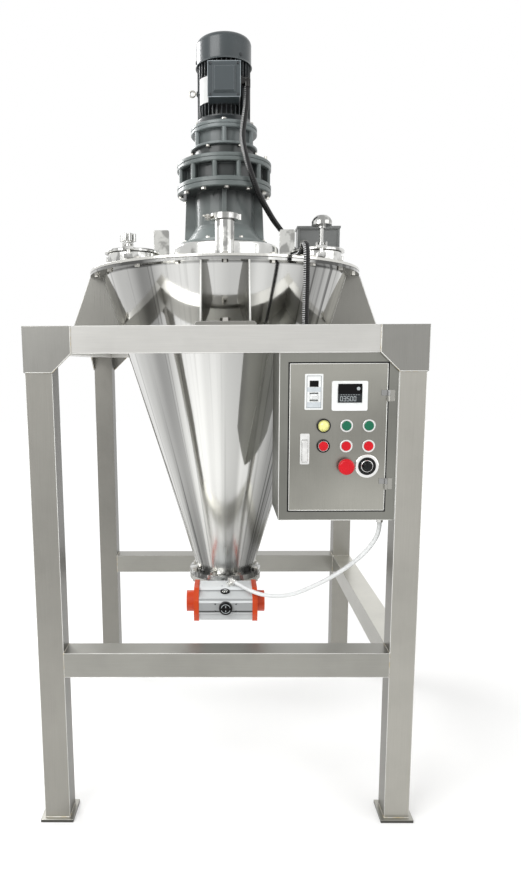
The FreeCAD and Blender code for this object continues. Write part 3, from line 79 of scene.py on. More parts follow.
def addMesh(name, points, faces, smooth=True):
    # points is an (n, 3) array in metres, faces a list of index rows.
    mesh = bpy.data.meshes.new(name)
    mesh.from_pydata(np.asarray(points).reshape(-1, 3).tolist(), [], [list(map(int, f)) for f in faces])
    mesh.validate()
    if smooth:
        mesh.polygons.foreach_set("use_smooth", np.ones(len(mesh.polygons), bool))
    mesh.update()
    piece = bpy.data.objects.new(name, mesh)
    bpy.context.scene.collection.objects.link(piece)
    return piece


def gridFaces(rows, columns, closedRows=False, closedColumns=False):
    # Quads between neighbours of a grid of rows x columns points, wrapping where it is closed.
    lastRow = rows if closedRows else rows - 1
    lastColumn = columns if closedColumns else columns - 1
    i, j = np.meshgrid(np.arange(lastRow), np.arange(lastColumn), indexing="ij")
    i, j = i.ravel(), j.ravel()
    below, beside = (i + 1) % rows, (j + 1) % columns
    return np.stack([i * columns + j, i * columns + beside, below * columns + beside, below * columns + j], 1)


def tubeAlong(name, path, radius, around):
    # Rings of the given radii stand square to the path, each turned from the last with no twist.
    path = np.asarray(path, float)
    tangent = np.gradient(path, axis=0)
    tangent /= np.linalg.norm(tangent, axis=1)[:, None]
    side = np.cross(tangent[0], (0, 1, 0.3))
    side /= np.linalg.norm(side)
    sides = np.empty_like(path)
    for k in range(len(path)):
        side = side - tangent[k] * np.dot(side, tangent[k])
        side = side / np.linalg.norm(side)
        sides[k] = side
    other = np.cross(tangent, sides)
    turn = np.linspace(0, 2 * math.pi, around, endpoint=False)
    ring = sides[:, None] * np.cos(turn)[None, :, None] + other[:, None] * np.sin(turn)[None, :, None]
    points = path[:, None] + ring * np.broadcast_to(radius, len(path))[:, None, None]
    faces = gridFaces(len(path), around, closedColumns=True).tolist()
    last = (len(path) - 1) * around
    faces += [list(range(around))[::-1], list(range(last, last + around))]
    return addMesh(name, points, faces)


# Cords: the routes of the two solids, as NURBS splines

conduit = {
    "route": [(78, -120, 2420), (78, -120, 2392), (75.5, -122, 2356), (68.1, -126, 2308), (62.6, -138, 2266),
              (63.2, -158, 2232), (69.7, -176, 2194), (83.2, -176, 2148), (100.8, -164, 2104), (122.3, -132, 2063),
              (145.8, -86, 2038), (166.4, -30, 2022), (185.9, 18, 2007), (210.5, 44, 1984), (238, 46, 1948),
              (261, 38, 1910), (277, 20, 1875), (283, -6, 1848), (276, -36, 1832), (252.9, -70, 1828),
              (225.7, -110, 1829), (203.6, -156, 1827), (197.4, -206, 1829), (209.3, -258, 1827), (227.1, -310, 1829),
              (240, -358, 1828), (244, -398, 1832), (245, -430, 1841), (246, -458, 1845), (247, -481, 1834),
              (248, -492, 1808), (248, -490, 1772), (249, -484, 1724), (248, -480, 1666), (248, -479, 1606),
              (249, -480, 1566), (249, -480, 1538)],
    "diameter": 0.021,
    "length": 1.579,
    "ribSpacing": 0.0064,
    "grooveDepth": 0.0017,
    "glintSide": (-0.77, -0.60, 0.22),
    "around": 20,
}

hose = {
    "route": [(482, -540, 989), (482, -540, 962), (470, -532, 926), (446, -512, 882), (414, -488, 842),
              (376, -456, 800), (334, -428, 762), (289, -398, 728), (243, -372, 697), (190, -346, 677),
              (134, -318, 672), (90, -292, 679), (58, -264, 688), (36, -242, 694)],
    "diameter": 0.014,
    "length": 0.680,
    "step": 0.005,
    "around": 24,
}


def routeCurve(name, cord):
    # One open NURBS spline with the route's points as its control points.
    curve = bpy.data.curves.new(name, "CURVE")
    curve.dimensions = "3D"
    curve.resolution_u = 16
    spline = curve.splines.new("NURBS")
    spline.points.add(len(cord["route"]) - 1)
    for point, (x, y, z) in zip(spline.points, cord["route"]):
        point.co = (x / 1000, y / 1000, z / 1000, 1)
    spline.order_u = 3
    spline.use_endpoint_u = True
    piece = bpy.data.objects.new(name, curve)
    bpy.context.scene.collection.objects.link(piece)
    return piece


def readRoute(piece):
    # The points that the spline passes through.
    view = bpy.context.evaluated_depsgraph_get()
    mesh = bpy.data.meshes.new_from_object(piece.evaluated_get(view))
    path = np.empty(len(mesh.vertices) * 3)
    mesh.vertices.foreach_get("co", path)
    bpy.data.meshes.remove(mesh)
    return path.reshape(-1, 3)


def evenPath(path, step):
    # The same line with points at an even step along it.
    run = np.concatenate([[0], np.cumsum(np.linalg.norm(np.diff(path, axis=0), axis=1))])
    stations = np.linspace(0, run[-1], int(round(run[-1] / step)) + 1)
    even = np.stack([np.interp(stations, run, path[:, k]) for k in range(3)], 1)
    return even, stations


def makeConduit(cord):
    # Radius falls from the rib's top to the groove by a raised cosine of the length along the route, to the
    # power 0.7, which widens the ribs. The rib attribute is that wave on the side that glints.
    guide = routeCurve("conduitRoute", cord)
    path, stations = evenPath(readRoute(guide), cord["ribSpacing"] / 6)
    bpy.data.objects.remove(guide)
    wave = (0.5 + 0.5 * np.cos(stations / cord["ribSpacing"] * 2 * math.pi)) ** 0.7
    radius = cord["diameter"] / 2 - cord["grooveDepth"] * (1 - wave)
    tube = tubeAlong("motorConduit", path, radius, cord["around"])
    points = np.empty(len(tube.data.vertices) * 3)
    tube.data.vertices.foreach_get("co", points)
    outward = points.reshape(len(path), cord["around"], 3) - path[:, None]
    outward /= np.linalg.norm(outward, axis=2)[:, :, None]
    # The painted glints go on the side of the ribs that faces the left front, towards the light.
    facing = np.clip((outward @ np.array(cord["glintSide"]) - 0.55) / 0.3, 0, 1)
    crest = tube.data.attributes.new("rib", "FLOAT", "POINT")
    crest.data.foreach_set("value", (wave[:, None] * facing).ravel().astype(np.float32))
    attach(tube, "root")
    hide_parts("motor_conduit")
    return tube


def makeHose(cord):
    guide = routeCurve("hoseRoute", cord)
    path, stations = evenPath(readRoute(guide), cord["step"])
    bpy.data.objects.remove(guide)
    tube = tubeAlong("airHose", path, cord["diameter"] / 2, cord["around"])
    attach(tube, "root")
    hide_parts("air_hose")
    return tube


conduitPiece = makeConduit(conduit)
hosePiece = makeHose(hose)
print("cords made")


# Finishes

def colour(red, green, blue):
    # A colour as it looks on a screen, 0 to 255, turned into the linear values that a shader takes.
    parts = [v / 255 for v in (red, green, blue)]
    return [v / 12.92 if v <= 0.04045 else ((v + 0.055) / 1.055) ** 2.4 for v in parts] + [1.0]


class Value:
    # Wraps a socket, so that sums written on it add Math nodes.
    def __init__(self, finish, output):
        self.finish = finish
        self.output = output

    def sum(self, operation, *others):
        inputs = dict(enumerate(others))
        return self.finish.add("Math", {"operation": operation}, inputs)[0]

    def __add__(self, other):
        return self.sum("ADD", self, other)

    def __radd__(self, other):
        return self.sum("ADD", other, self)

    def __sub__(self, other):
        return self.sum("SUBTRACT", self, other)

    def __rsub__(self, other):
        return self.sum("SUBTRACT", other, self)

    def __mul__(self, other):
        return self.sum("MULTIPLY", self, other)

    def __rmul__(self, other):
        return self.sum("MULTIPLY", other, self)

    def __truediv__(self, other):
        return self.sum("DIVIDE", self, other)

    def __rtruediv__(self, other):
        return self.sum("DIVIDE", other, self)

    def call(self, operation, *others):
        return self.sum(operation, self, *others)


class Finish:
    # A material with one Principled shader, whose other nodes come from the add method.
    def __init__(self, name, base, roughness, metallic=0.0, **fixed):
        self.material = bpy.data.materials.new(name)
        self.material.use_nodes = True
        self.tree = self.material.node_tree
        self.shader = self.tree.nodes["Principled BSDF"]
        self.shader.inputs["Base Color"].default_value = base
        self.shader.inputs["Roughness"].default_value = roughness
        self.shader.inputs["Metallic"].default_value = metallic
        for key, value in fixed.items():
            self.shader.inputs[key.replace("_", " ")].default_value = value
        self.place = self.add("TexCoord")[3]

    def add(self, kind, settings=None, inputs=None):
        node = self.tree.nodes.new("ShaderNode" + kind)
        for key, value in (settings or {}).items():
            if key == "stops":
                ramp = node.color_ramp
                for stop, (position, shade) in enumerate(value):
                    element = ramp.elements[stop] if stop < 2 else ramp.elements.new(position)
                    element.position = position
                    element.color = shade
            else:
                setattr(node, key, value)
        for key, value in (inputs or {}).items():
            if isinstance(value, Value):
                self.tree.links.new(value.output, node.inputs[key])
            else:
                node.inputs[key].default_value = value
        return [Value(self, output) for output in node.outputs]

    def split(self):
        return self.add("SeparateXYZ", None, {0: self.place})[:3]

    def noise(self, scale, stretch=(1, 1, 1), detail=3.0, roughness=0.5, vector=None):
        moved = self.add("Mapping", None, {"Vector": vector or self.place, "Scale": stretch})[0]
        return self.add("TexNoise", None, {"Vector": moved, "Scale": scale, "Detail": detail,
                                           "Roughness": roughness})[0]

    def span(self, value, low, high, bottom=0.0, top=1.0, smooth=True):
        # value from low..high is carried to bottom..top and held there outside.
        kind = "SMOOTHSTEP" if smooth else "LINEAR"
        return self.add("MapRange", {"interpolation_type": kind, "clamp": True},
                        {"Value": value, "From Min": low, "From Max": high, "To Min": bottom,
                         "To Max": top})[0]

    def blend(self, factor, first, second, kind="MIX"):
        return self.add("Mix", {"data_type": "RGBA", "blend_type": kind}, {0: factor, 6: first, 7: second})[2]

    def put(self, name, value):
        self.tree.links.new(value.output, self.shader.inputs[name])

    def bump(self, height, strength, distance, rounding=0.0):
        # rounding is the radius that sharp edges look rounded to.
        inputs = {"Height": height, "Strength": strength, "Distance": distance}
        if rounding:
            inputs["Normal"] = self.add("Bevel", {"samples": 4}, {"Radius": rounding})[0]
        self.put("Normal", self.add("Bump", None, inputs)[0])

    def edgeLight(self, amount, radius, tint):
        # Painted highlight on edges, where rounded edges would catch the light, found by comparing the bevelled
        # normal with the flat one.
        rounded = self.add("Bevel", {"samples": 4}, {"Radius": radius})[0]
        plain = self.add("NewGeometry")[1]
        close = self.add("VectorMath", {"operation": "DOT_PRODUCT"}, {0: rounded, 1: plain})[1]
        return self.span(close, 0.985, 0.86, 0.0, amount), tint


def shaded(finish, shades):
    # Each shade is (axis, low, high, bottom, top): a tone that changes along the part, mostly painted light and shade
    # where the light on it changes, and in a few finishes the darker tone of some of its parts.
    x, y, z = finish.split()
    along = {"x": x, "y": y, "z": z, "r": (x * x + y * y).call("SQRT"), "width": x.call("ABSOLUTE")}
    tone = 1.0
    for axis, low, high, bottom, top in shades:
        tone = finish.span(along[axis], low, high, bottom, top) * tone
    return tone


def toned(finish, base, tone):
    shade = finish.add("CombineColor", None, {0: tone, 1: tone, 2: tone})[0]
    return finish.blend(1.0, base, shade, "MULTIPLY")


def brushed(name, base, along, roughness=0.34, contrast=0.05, fleck=0.03, shades=(), edge=0.0):
    # Grain lines run along one axis: noise squeezed across it. A slow cloud changes the tone a little.
    finish = Finish(name, base, roughness, 1.0)
    stretch = [420.0, 420.0, 420.0]
    for axis in along:
        stretch["xyz".index(axis)] = 3.0
    grain = finish.noise(3.0, stretch, 2.0)
    cloud = finish.noise(2.2, (1, 1, 1), 2.0)
    smear = finish.noise(14.0, (1, 1, 1), 3.0)
    tone = finish.span(grain, 0.25, 0.75, 1 - contrast, 1 + contrast, False)
    tone = tone * finish.span(cloud, 0.3, 0.7, 1 - fleck * 2, 1 + fleck)
    tone = tone * finish.span(smear, 0.4, 0.75, 1.0, 0.96)
    # Painted light and shade along the part, as the shades give.
    if shades:
        tone = tone * shaded(finish, shades)
    dark = toned(finish, base, tone)
    # Painted highlight on the edges, in a near-white tint.
    if edge:
        paintedHighlight, tint = finish.edgeLight(edge, 0.0022, colour(246, 246, 242))
        dark = finish.blend(paintedHighlight, dark, tint)
    finish.put("Base Color", dark)
    finish.put("Roughness", finish.span(grain, 0.2, 0.8, roughness - 0.05, roughness + 0.07, False))
    finish.bump(grain, 0.06, 0.0003, 0.0025)
    return finish.material


def polished(name, base, roughness=0.12, ripple=0.06, shades=(), size=7.0, sharp=0.2):
    # Bright plate or turned part: slow waviness in its tone and polish, with faint fine scratches.
    finish = Finish(name, base, roughness, 1.0)
    wave = finish.noise(size, (1, 1, 1), 2.0)
    scratch = finish.noise(90.0, (1, 6, 1), 3.0)
    tone = finish.span(wave, 0.5 - sharp, 0.5 + sharp, 1 - ripple, 1 + min(ripple, 0.1) * 0.5)
    tone = tone * finish.span(scratch, 0.3, 0.7, 0.97, 1.02, False)
    if shades:
        tone = tone * shaded(finish, shades)
    finish.put("Base Color", toned(finish, base, tone))
    finish.put("Roughness", finish.span(scratch, 0.3, 0.7, roughness * 0.8, roughness * 1.3, False))
    finish.bump(wave, 0.06, 0.002, 0.0015)
    return finish.material


def mirrorCone(name, base, streaks):
    # Streaks run down the slope: noise of the angle round the axis, softened, in two widths; they are partly polish
    # marks and partly painted reflections. Painted reflection and shade: the sheet is brightest where it faces front
    # or back, darker on the slants between, below the rail towards the right, towards its crown and just under its
    # rim. Near its foot it is darker and rougher.
    finish = Finish(name, base, streaks["roughness"], 1.0)
    x, y, z = finish.split()
    angle = finish.add("Math", {"operation": "ARCTAN2"}, {0: y, 1: x})[0]
    wide = finish.add("CombineXYZ", None, {0: angle.call("COSINE") * 1.5, 1: angle.call("SINE") * 1.5,
                                           2: z * 0.12})[0]
    broad = finish.noise(streaks["broad"], (1, 1, 1), 1.0, 0.4, wide)
    narrow = finish.noise(streaks["narrow"], (1, 1, 0.4), 2.0, 0.5, wide)
    radius = (x * x + y * y).call("SQRT")
    side = x.call("ABSOLUTE") / radius
    flankReflection = finish.span(side, 0.30, 0.62) * (1.0 - finish.span(side, 0.80, 0.98))
    dark = finish.span(broad, 0.42, 0.68) * streaks["broadDepth"]
    thin = finish.span(narrow, 0.55, 0.75) * streaks["narrowDepth"] * finish.span(side, 0.2, 0.5, 0.25, 1.0)
    foot = finish.span(z, streaks["footLow"], streaks["footHigh"], streaks["footDepth"], 0.0)
    crown = finish.span(z, streaks["crownLow"], streaks["crownHigh"], 0.0, streaks["crownDepth"])
    rim = finish.span(z, streaks["rimLow"], streaks["rimHigh"], 0.0, streaks["rimDepth"])
    rightReflection = finish.span(x / radius, -0.25, 0.40) * finish.span(z, streaks["rightLow"], streaks["rightHigh"],
                                                              streaks["rightDepth"], 0.0)
    tone = (1.0 - dark - thin - foot - crown - rim - rightReflection - flankReflection * streaks["flankDepth"]).call("MAXIMUM", 0.12)
    flange = finish.span(z, streaks["flangeLow"], streaks["flangeHigh"], streaks["fleckDepth"], 0.0)
    fleck = finish.noise(streaks["fleck"], (1, 1, 1), 2.0)
    tone = tone * (1.0 - flange * finish.span(fleck, 0.50, 0.58))
    finish.put("Base Color", toned(finish, base, tone))
    polish = finish.span(z, streaks["footLow"], streaks["footHigh"], streaks["footRoughness"], streaks["roughness"])
    finish.put("Roughness", polish + finish.span(narrow, 0.4, 0.7, -0.015, 0.03))
    finish.bump(narrow, 0.05, 0.002)
    return finish.material


def enamel(name, base, roughness=0.34, grime=0.15, peel=0.12, shades=(), edgeSheen=0.55):
    # Sprayed enamel with orange peel, with a painted highlight on sharp edges in a lighter tint of its colour.
    finish = Finish(name, base, roughness, 0.0, Coat_Weight=0.2, Coat_Roughness=0.12, Specular_IOR_Level=0.35)
    peelNoise = finish.noise(260.0, (1, 1, 1), 2.0)
    cloud = finish.noise(9.0, (1, 1, 1), 4.0)
    tone = finish.span(cloud, 0.3, 0.75, 1 + grime * 0.4, 1 - grime)
    # Painted light and shade along the part, as the shades give.
    if shades:
        tone = tone * shaded(finish, shades)
    # Painted highlight on the edges, in a lighter tint of the base.
    paintedHighlight, tint = finish.edgeLight(edgeSheen, 0.0022, [min(1.0, v * 2.6 + 0.05) for v in base[:3]] + [1.0])
    finish.put("Base Color", finish.blend(paintedHighlight, toned(finish, base, tone), tint))
    finish.put("Roughness", finish.span(cloud, 0.3, 0.7, roughness - 0.05, roughness + 0.1))
    finish.bump(peelNoise, peel, 0.0006, 0.002)
    return finish.material


def moulded(name, base, roughness=0.4, grain=500.0, coat=0.0, emission=0.0, shine=0.5):
    # Moulded plastic or rubber with a fine spark-eroded grain.
    finish = Finish(name, base, roughness, 0.0, Coat_Weight=coat, Coat_Roughness=0.08, Specular_IOR_Level=shine)
    speck = finish.noise(grain, (1, 1, 1), 2.0)
    cloud = finish.noise(14.0, (1, 1, 1), 2.0)
    tone = finish.span(cloud, 0.3, 0.7, 0.94, 1.05)
    finish.put("Base Color", toned(finish, base, tone))
    finish.put("Roughness", finish.span(speck, 0.3, 0.7, roughness - 0.05, roughness + 0.07))
    finish.bump(speck, 0.06, 0.0005)
    if emission:
        finish.shader.inputs["Emission Color"].default_value = base
        finish.shader.inputs["Emission Strength"].default_value = emission
    return finish.material


def banded(name, base, roughness, low, high, stops):
    # An extrusion's faces catch the light differently: the tone follows the stops from low to high in z.
    finish = Finish(name, base, roughness, 0.0, Coat_Weight=0.1, Coat_Roughness=0.1, Specular_IOR_Level=0.4)
    place = finish.span(finish.split()[2], low, high, 0.0, 1.0, False)
    tones = [(share, (tone, tone, tone, 1)) for share, tone in stops]
    bands = finish.add("ValToRGB", {"stops": tones}, {0: place})[0]
    grain = finish.noise(3.0, (3, 420, 420), 2.0)
    finish.put("Base Color", finish.blend(1.0, base, bands, "MULTIPLY"))
    finish.put("Roughness", finish.span(grain, 0.2, 0.8, roughness - 0.06, roughness + 0.08))
    finish.bump(grain, 0.05, 0.0003, 0.0012)
    return finish.material


def turnedSteel(name, base, roughness=0.24, axis="z", rings=900.0):
    # Lathe marks: rings of the height along the part's axis.
    finish = Finish(name, base, roughness, 1.0)
    along = finish.split()["xyz".index(axis)]
    mark = (along * rings).call("SINE")
    cloud = finish.noise(12.0, (1, 1, 1), 2.0)
    tone = 1.0 + mark * 0.03 + finish.span(cloud, 0.3, 0.7, -0.07, 0.05)
    finish.put("Base Color", toned(finish, base, tone))
    finish.put("Roughness", finish.span(cloud, 0.3, 0.7, roughness - 0.04, roughness + 0.06))
    finish.bump(mark, 0.04, 0.0003)
    return finish.material


def weldFinish(name, base):
    # Heat tints: straw and grey patches along the bead.
    finish = Finish(name, base, 0.32, 1.0)
    patch = finish.noise(55.0, (1, 1, 1), 3.0)
    straw = finish.blend(finish.span(patch, 0.45, 0.7), base, colour(186, 172, 140))
    finish.put("Base Color", straw)
    finish.put("Roughness", finish.span(patch, 0.3, 0.7, 0.26, 0.42))
    finish.bump(patch, 0.1, 0.0005)
    return finish.material


def ribbedConduit(name, base, crest):
    # Painted glints: the ribs' tops are lighter on the side towards the light, as the mesh's rib attribute says.
    finish = Finish(name, base, 0.3, 0.0, Coat_Weight=0.1, Coat_Roughness=0.1, Specular_IOR_Level=0.3)
    height = finish.add("Attribute", {"attribute_name": "rib"})[2]
    speck = finish.noise(300.0, (1, 1, 1), 2.0)
    paintedHighlight = finish.span(height, 0.62, 0.92) * finish.span(speck, 0.35, 0.6, 0.5, 1.0)
    finish.put("Base Color", finish.blend(paintedHighlight, base, crest))
    finish.put("Roughness", finish.span(speck, 0.3, 0.7, 0.24, 0.36))
    finish.bump(speck, 0.05, 0.0004)
    return finish.material


# Roughness, and the depths and levels in z of the cone's streaks, painted reflections and shades
coneStreaks = {"roughness": 0.085, "broad": 2.6, "broadDepth": 0.28, "narrow": 13.0, "narrowDepth": 0.40,
               "flankDepth": 0.34, "footLow": 0.72, "footHigh": 1.15, "footDepth": 0.14, "footRoughness": 0.26,
               "crownLow": 1.50, "crownHigh": 1.70, "crownDepth": 0.10, "rimLow": 1.790, "rimHigh": 1.795,
               "rimDepth": 0.3, "rightLow": 1.52, "rightHigh": 1.59, "rightDepth": 0.20, "flangeLow": 0.6845,
               "flangeHigh": 0.690, "fleck": 38.0, "fleckDepth": 0.55}

finishes = {
    # Painted shade: the left legs, the rear legs and the legs' inner faces darker; painted highlight on the edges
    "leg": brushed("legSteel", colour(172, 170, 163), "z", 0.34, 0.05, 0.03,
                   [("x", -0.1, 0.1, 0.77, 1.0), ("y", -0.1, 0.1, 1.0, 0.80),
                    ("width", 0.5152, 0.5157, 0.55, 1.0)], 0.4),
    # Painted light: the side and rear rails lighter than the front one; painted highlight on the edges
    "rail": brushed("railSteel", colour(199, 198, 194), "xy", 0.34, 0.05, 0.03,
                    [("y", -0.515, -0.505, 1.0, 1.22)], 0.3),
    # Painted light: the lower rail at the right side lighter; painted highlight on the edges
    "lowerRail": brushed("lowerRailSteel", colour(157, 156, 150), "xy", 0.34, 0.05, 0.03,
                         [("x", 0.514, 0.518, 1.0, 2.1)], 0.3),
    # Painted light: the left caps lighter than the right ones; painted highlight on the edges
    "cap": brushed("capSteel", colour(166, 165, 160), "z", 0.32, 0.05, 0.03, [("x", -0.1, 0.1, 0.80, 0.72)], 0.5),
    # Painted shade: the sides of the foot plates darker than their tops
    "foot": brushed("footSteel", colour(176, 175, 168), "xy", 0.3, 0.05, 0.03, [("z", 0.0085, 0.0097, 0.22, 1.0)]),
    "cone": mirrorCone("coneSteel", colour(238, 238, 235), coneStreaks),
    "lid": polished("lidSteel", colour(214, 213, 208), 0.14),
    "fitting": polished("fittingSteel", colour(212, 212, 209), 0.11, 0.50, (), 26.0, 0.09),
    "plinth": polished("plinthSteel", colour(226, 226, 223), 0.14, 0.24, (), 12.0, 0.14),
    # Painted highlight on the edges
    "lug": brushed("lugSteel", colour(134, 133, 128), "z", 0.30, 0.05, 0.03, (), 0.7),
    "lift": polished("liftingSteel", colour(204, 204, 200), 0.12, 0.45, (), 30.0, 0.10),
    "bolt": turnedSteel("boltSteel", colour(186, 184, 178), 0.28),
    "gasket": moulded("gasketSilicone", colour(62, 62, 60), 0.55),
    # Painted shade at the bell's top under the main case, and painted highlight on its flared foot
    "bell": enamel("bellEnamel", colour(92, 98, 97), 0.36, 0.12, 0.12,
                   [("z", 2.035, 2.086, 1.0, 0.30), ("z", 1.95, 1.985, 1.7, 1.0)]),
    # Painted shade in the pockets of both reducer cases, nearer the axis
    "mainCase": enamel("mainCaseEnamel", colour(92, 99, 98), 0.36, 0.12, 0.12, [("r", 0.150, 0.165, 0.26, 1.0)]),
    "firstCase": enamel("firstCaseEnamel", colour(104, 111, 111), 0.36, 0.12, 0.12, [("r", 0.102, 0.112, 0.7, 1.0)]),
    # Painted shade between the motor's fins, nearer the axis; painted highlights on the edges of motor, fan cover and
    # terminal box, stronger than on the other enamel
    "motor": enamel("motorEnamel", colour(46, 50, 52), 0.34, 0.12, 0.12, [("r", 0.082, 0.094, 0.12, 1.0)], 0.9),
    "fan": enamel("fanCoverEnamel", colour(58, 64, 66), 0.28, 0.10, 0.06, (), 0.9),
    "terminal": enamel("terminalEnamel", colour(62, 69, 72), 0.30, 0.10, 0.10, (), 0.9),
    "rotor": turnedSteel("rotorSteel", colour(150, 150, 150)),
    "instrument": moulded("instrumentPlastic", colour(222, 224, 223), 0.28, 400.0, 0.3),
    "screw": turnedSteel("screwSteel", colour(196, 195, 190), 0.2),
    "valve": turnedSteel("valveSteel", colour(178, 177, 172), 0.24),
    "actuator": banded("actuatorAluminium", colour(226, 229, 230), 0.40, 0.569, 0.679,
                       [(0.0, 0.66), (0.295, 0.66), (0.305, 0.10), (0.345, 0.10), (0.355, 0.46), (0.605, 0.46),
                        (0.615, 0.96), (0.685, 0.96), (0.695, 0.42), (0.720, 0.42), (0.730, 0.72), (0.885, 0.72),
                        (0.895, 0.42), (0.925, 0.42), (0.935, 0.94), (1.0, 0.94)]),
    "endCap": enamel("endCapEnamel", colour(200, 66, 16), 0.36, 0.10),
    # Painted highlight on the edges of cabinet and door; the door's tone is a painted sheen, lighter at its bottom
    # and its top
    "cabinet": brushed("cabinetSteel", colour(134, 134, 128), "z", 0.32, 0.04, 0.10, (), 0.95),
    "door": brushed("doorSteel", colour(147, 146, 139), "z", 0.30, 0.04, 0.10,
                    [("z", 1.03, 1.25, 1.34, 0.97), ("z", 1.27, 1.47, 1.0, 1.22)], 0.95),
    "hardware": polished("hardwareSteel", colour(168, 167, 161), 0.22),
    "black": moulded("blackPlastic", colour(8, 8, 9), 0.3, 500.0, 0.0, 0.0, 0.3),
    "toggle": moulded("togglePlastic", colour(226, 228, 228), 0.36, 500.0, 0.2),
    "bezel": polished("bezelChrome", colour(240, 240, 238), 0.14, 0.05),
    "lamp": moulded("lampLens", colour(222, 220, 136), 0.2, 300.0, 0.4, 0.06),
    "green": moulded("greenCap", colour(8, 98, 70), 0.22, 300.0, 0.15, 0.0, 0.3),
    "red": moulded("redCap", colour(196, 8, 26), 0.24, 300.0, 0.12, 0.0, 0.25),
    "gear": moulded("switchgearPlastic", colour(206, 204, 196), 0.5),
    # The pale second colour is the painted glint on the ribs
    "conduit": ribbedConduit("conduitPlastic", colour(7, 7, 8), colour(232, 232, 232)),
    "hose": moulded("hosePlastic", colour(224, 226, 226), 0.30, 300.0, 0.3),
    "filter": enamel("filterEnamel", colour(106, 108, 107), 0.4, 0.12),
    "brass": polished("glandNickel", colour(228, 228, 225), 0.16, 0.10, [("z", 2.2, 2.25, 1.0, 0.05)], 30.0),
    "weld": weldFinish("weldBead", colour(196, 194, 188)),
    "paper": moulded("plateAluminium", colour(204, 205, 204), 0.4, 200.0),
    "glass": moulded("displayGlass", colour(6, 6, 7), 0.2, 200.0, 0.0, 0.0, 0.15),
    "segment": moulded("displayDigit", colour(170, 176, 178), 0.4, 200.0),
    "strip": moulded("displayStrip", colour(38, 41, 43), 0.3, 200.0, 0.0, 0.0, 0.2),
    "blueGrey": moulded("breakerPanel", colour(188, 194, 198), 0.3, 300.0, 0.2),
    "line": moulded("breakerLine", colour(86, 92, 98), 0.4, 300.0),
    "latch": polished("latchChrome", colour(240, 240, 238), 0.22, 0.12, [("x", 0.40, 0.44, 1.0, 0.40)], 30.0),
    "seal": moulded("doorSeal", colour(22, 22, 22), 0.6, 300.0, 0.0, 0.0, 0.2),
    # Pale and grey rods that stand for painted highlights along edges and round the terminal cover
    "edge": moulded("edgeHighlightRod", colour(226, 226, 222), 0.3, 300.0, 0.2),
    "coverEdge": moulded("coverEdge", colour(132, 140, 144), 0.3, 300.0, 0.2),
    "darkSteel": turnedSteel("darkScrewSteel", colour(70, 72, 74), 0.34),
}

nodeFinishes = {
    "leg": "legs",
    "rail": "top_rails",
    "lowerRail": "lower_rails",
    "cap": "corner_caps",
    "foot": "foot_plates",
    "cone": "cone_shell",
    "lid": "lid_plate",
    "fitting": "manhole_necks left_manhole_cover right_manhole_cover left_hand_screw right_hand_screw "
               "charging_nozzle nozzle_cap nozzle_clamp",
    "plinth": "drive_plinth",
    "lug": "support_lugs",
    "lift": "lifting_lugs",
    "bolt": "vessel_bolts nozzle_wing_nut drive_fasteners",
    "gasket": "gaskets",
    "bell": "bell_stand",
    "mainCase": "main_reducer_case",
    "firstCase": "first_reducer_case",
    "motor": "motor_frame",
    "fan": "fan_cover",
    "terminal": "terminal_box terminal_box_cover",
    "rotor": "motor_rotor",
    "screw": "main_shaft revolving_arm long_screw short_screw",
    "valve": "valve_body valve_disc",
    "actuator": "actuator_body",
    "endCap": "actuator_end_caps",
    "cabinet": "cabinet_case",
    "door": "cabinet_door",
    "hardware": "door_hinges",
    "latch": "door_hardware latch_handle",
    "black": "position_indicator selector_knob",
    "toggle": "breaker_toggle",
    "instrument": "panel_instruments",
    "gear": "switchgear",
    "bezel": "button_bezels",
    "lamp": "indicator_lamp",
    "green": "green_button_left green_button_right",
    "red": "red_button_left red_button_middle red_button_right stop_mushroom",
    "conduit": "motor_conduit",
    "hose": "air_hose",
    "filter": "filter_box",
    "brass": "cable_fittings",
}


def paint(piece, finish):
    piece.data.materials.clear()
    piece.data.materials.append(finishes[finish])


for finishName, nodeNames in nodeFinishes.items():
    for nodeName in nodeNames.split():
        paint(nodes[nodeName], finishName)
paint(conduitPiece, "conduit")
paint(hosePiece, "hose")
print("finishes made:", len(finishes))


# Small pieces that the photograph shows on the machine

def joined(name, parts, body, finish, smooth=True):
    # parts is a list of (points, faces); they become one mesh.
    points, faces, first = [], [], 0
    for partPoints, partFaces in parts:
        points.append(np.asarray(partPoints, float).reshape(-1, 3))
        faces += [[first + int(k) for k in face] for face in partFaces]
        first += len(points[-1])
    piece = addMesh(name, np.concatenate(points), faces, smooth)
    piece.data.materials.append(finishes[finish])
    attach(piece, body)
    return piece


def sweep(path, radius, around=6, closed=False):
    # A tube's points and faces; the radius may change along the path.
    path = np.asarray(path, float)
    if closed:
        tangent = np.roll(path, -1, axis=0) - np.roll(path, 1, axis=0)
    else:
        tangent = np.gradient(path, axis=0)
    tangent /= np.linalg.norm(tangent, axis=1)[:, None]
    guide = np.array([0.0, 0.0, 1.0]) if abs(tangent[:, 2]).max() < 0.9 else np.array([0.31, 0.95, 0.0])
    side = np.cross(tangent, guide)
    side /= np.linalg.norm(side, axis=1)[:, None]
    other = np.cross(tangent, side)
    turn = np.linspace(0, 2 * math.pi, around, endpoint=False)
    ring = side[:, None] * np.cos(turn)[None, :, None] + other[:, None] * np.sin(turn)[None, :, None]
    points = path[:, None] + ring * np.broadcast_to(radius, len(path))[:, None, None]
    faces = gridFaces(len(path), around, closed, True).tolist()
    if not closed:
        last = (len(path) - 1) * around
        faces += [list(range(around))[::-1], list(range(last, last + around))]
    return points.reshape(-1, 3), faces


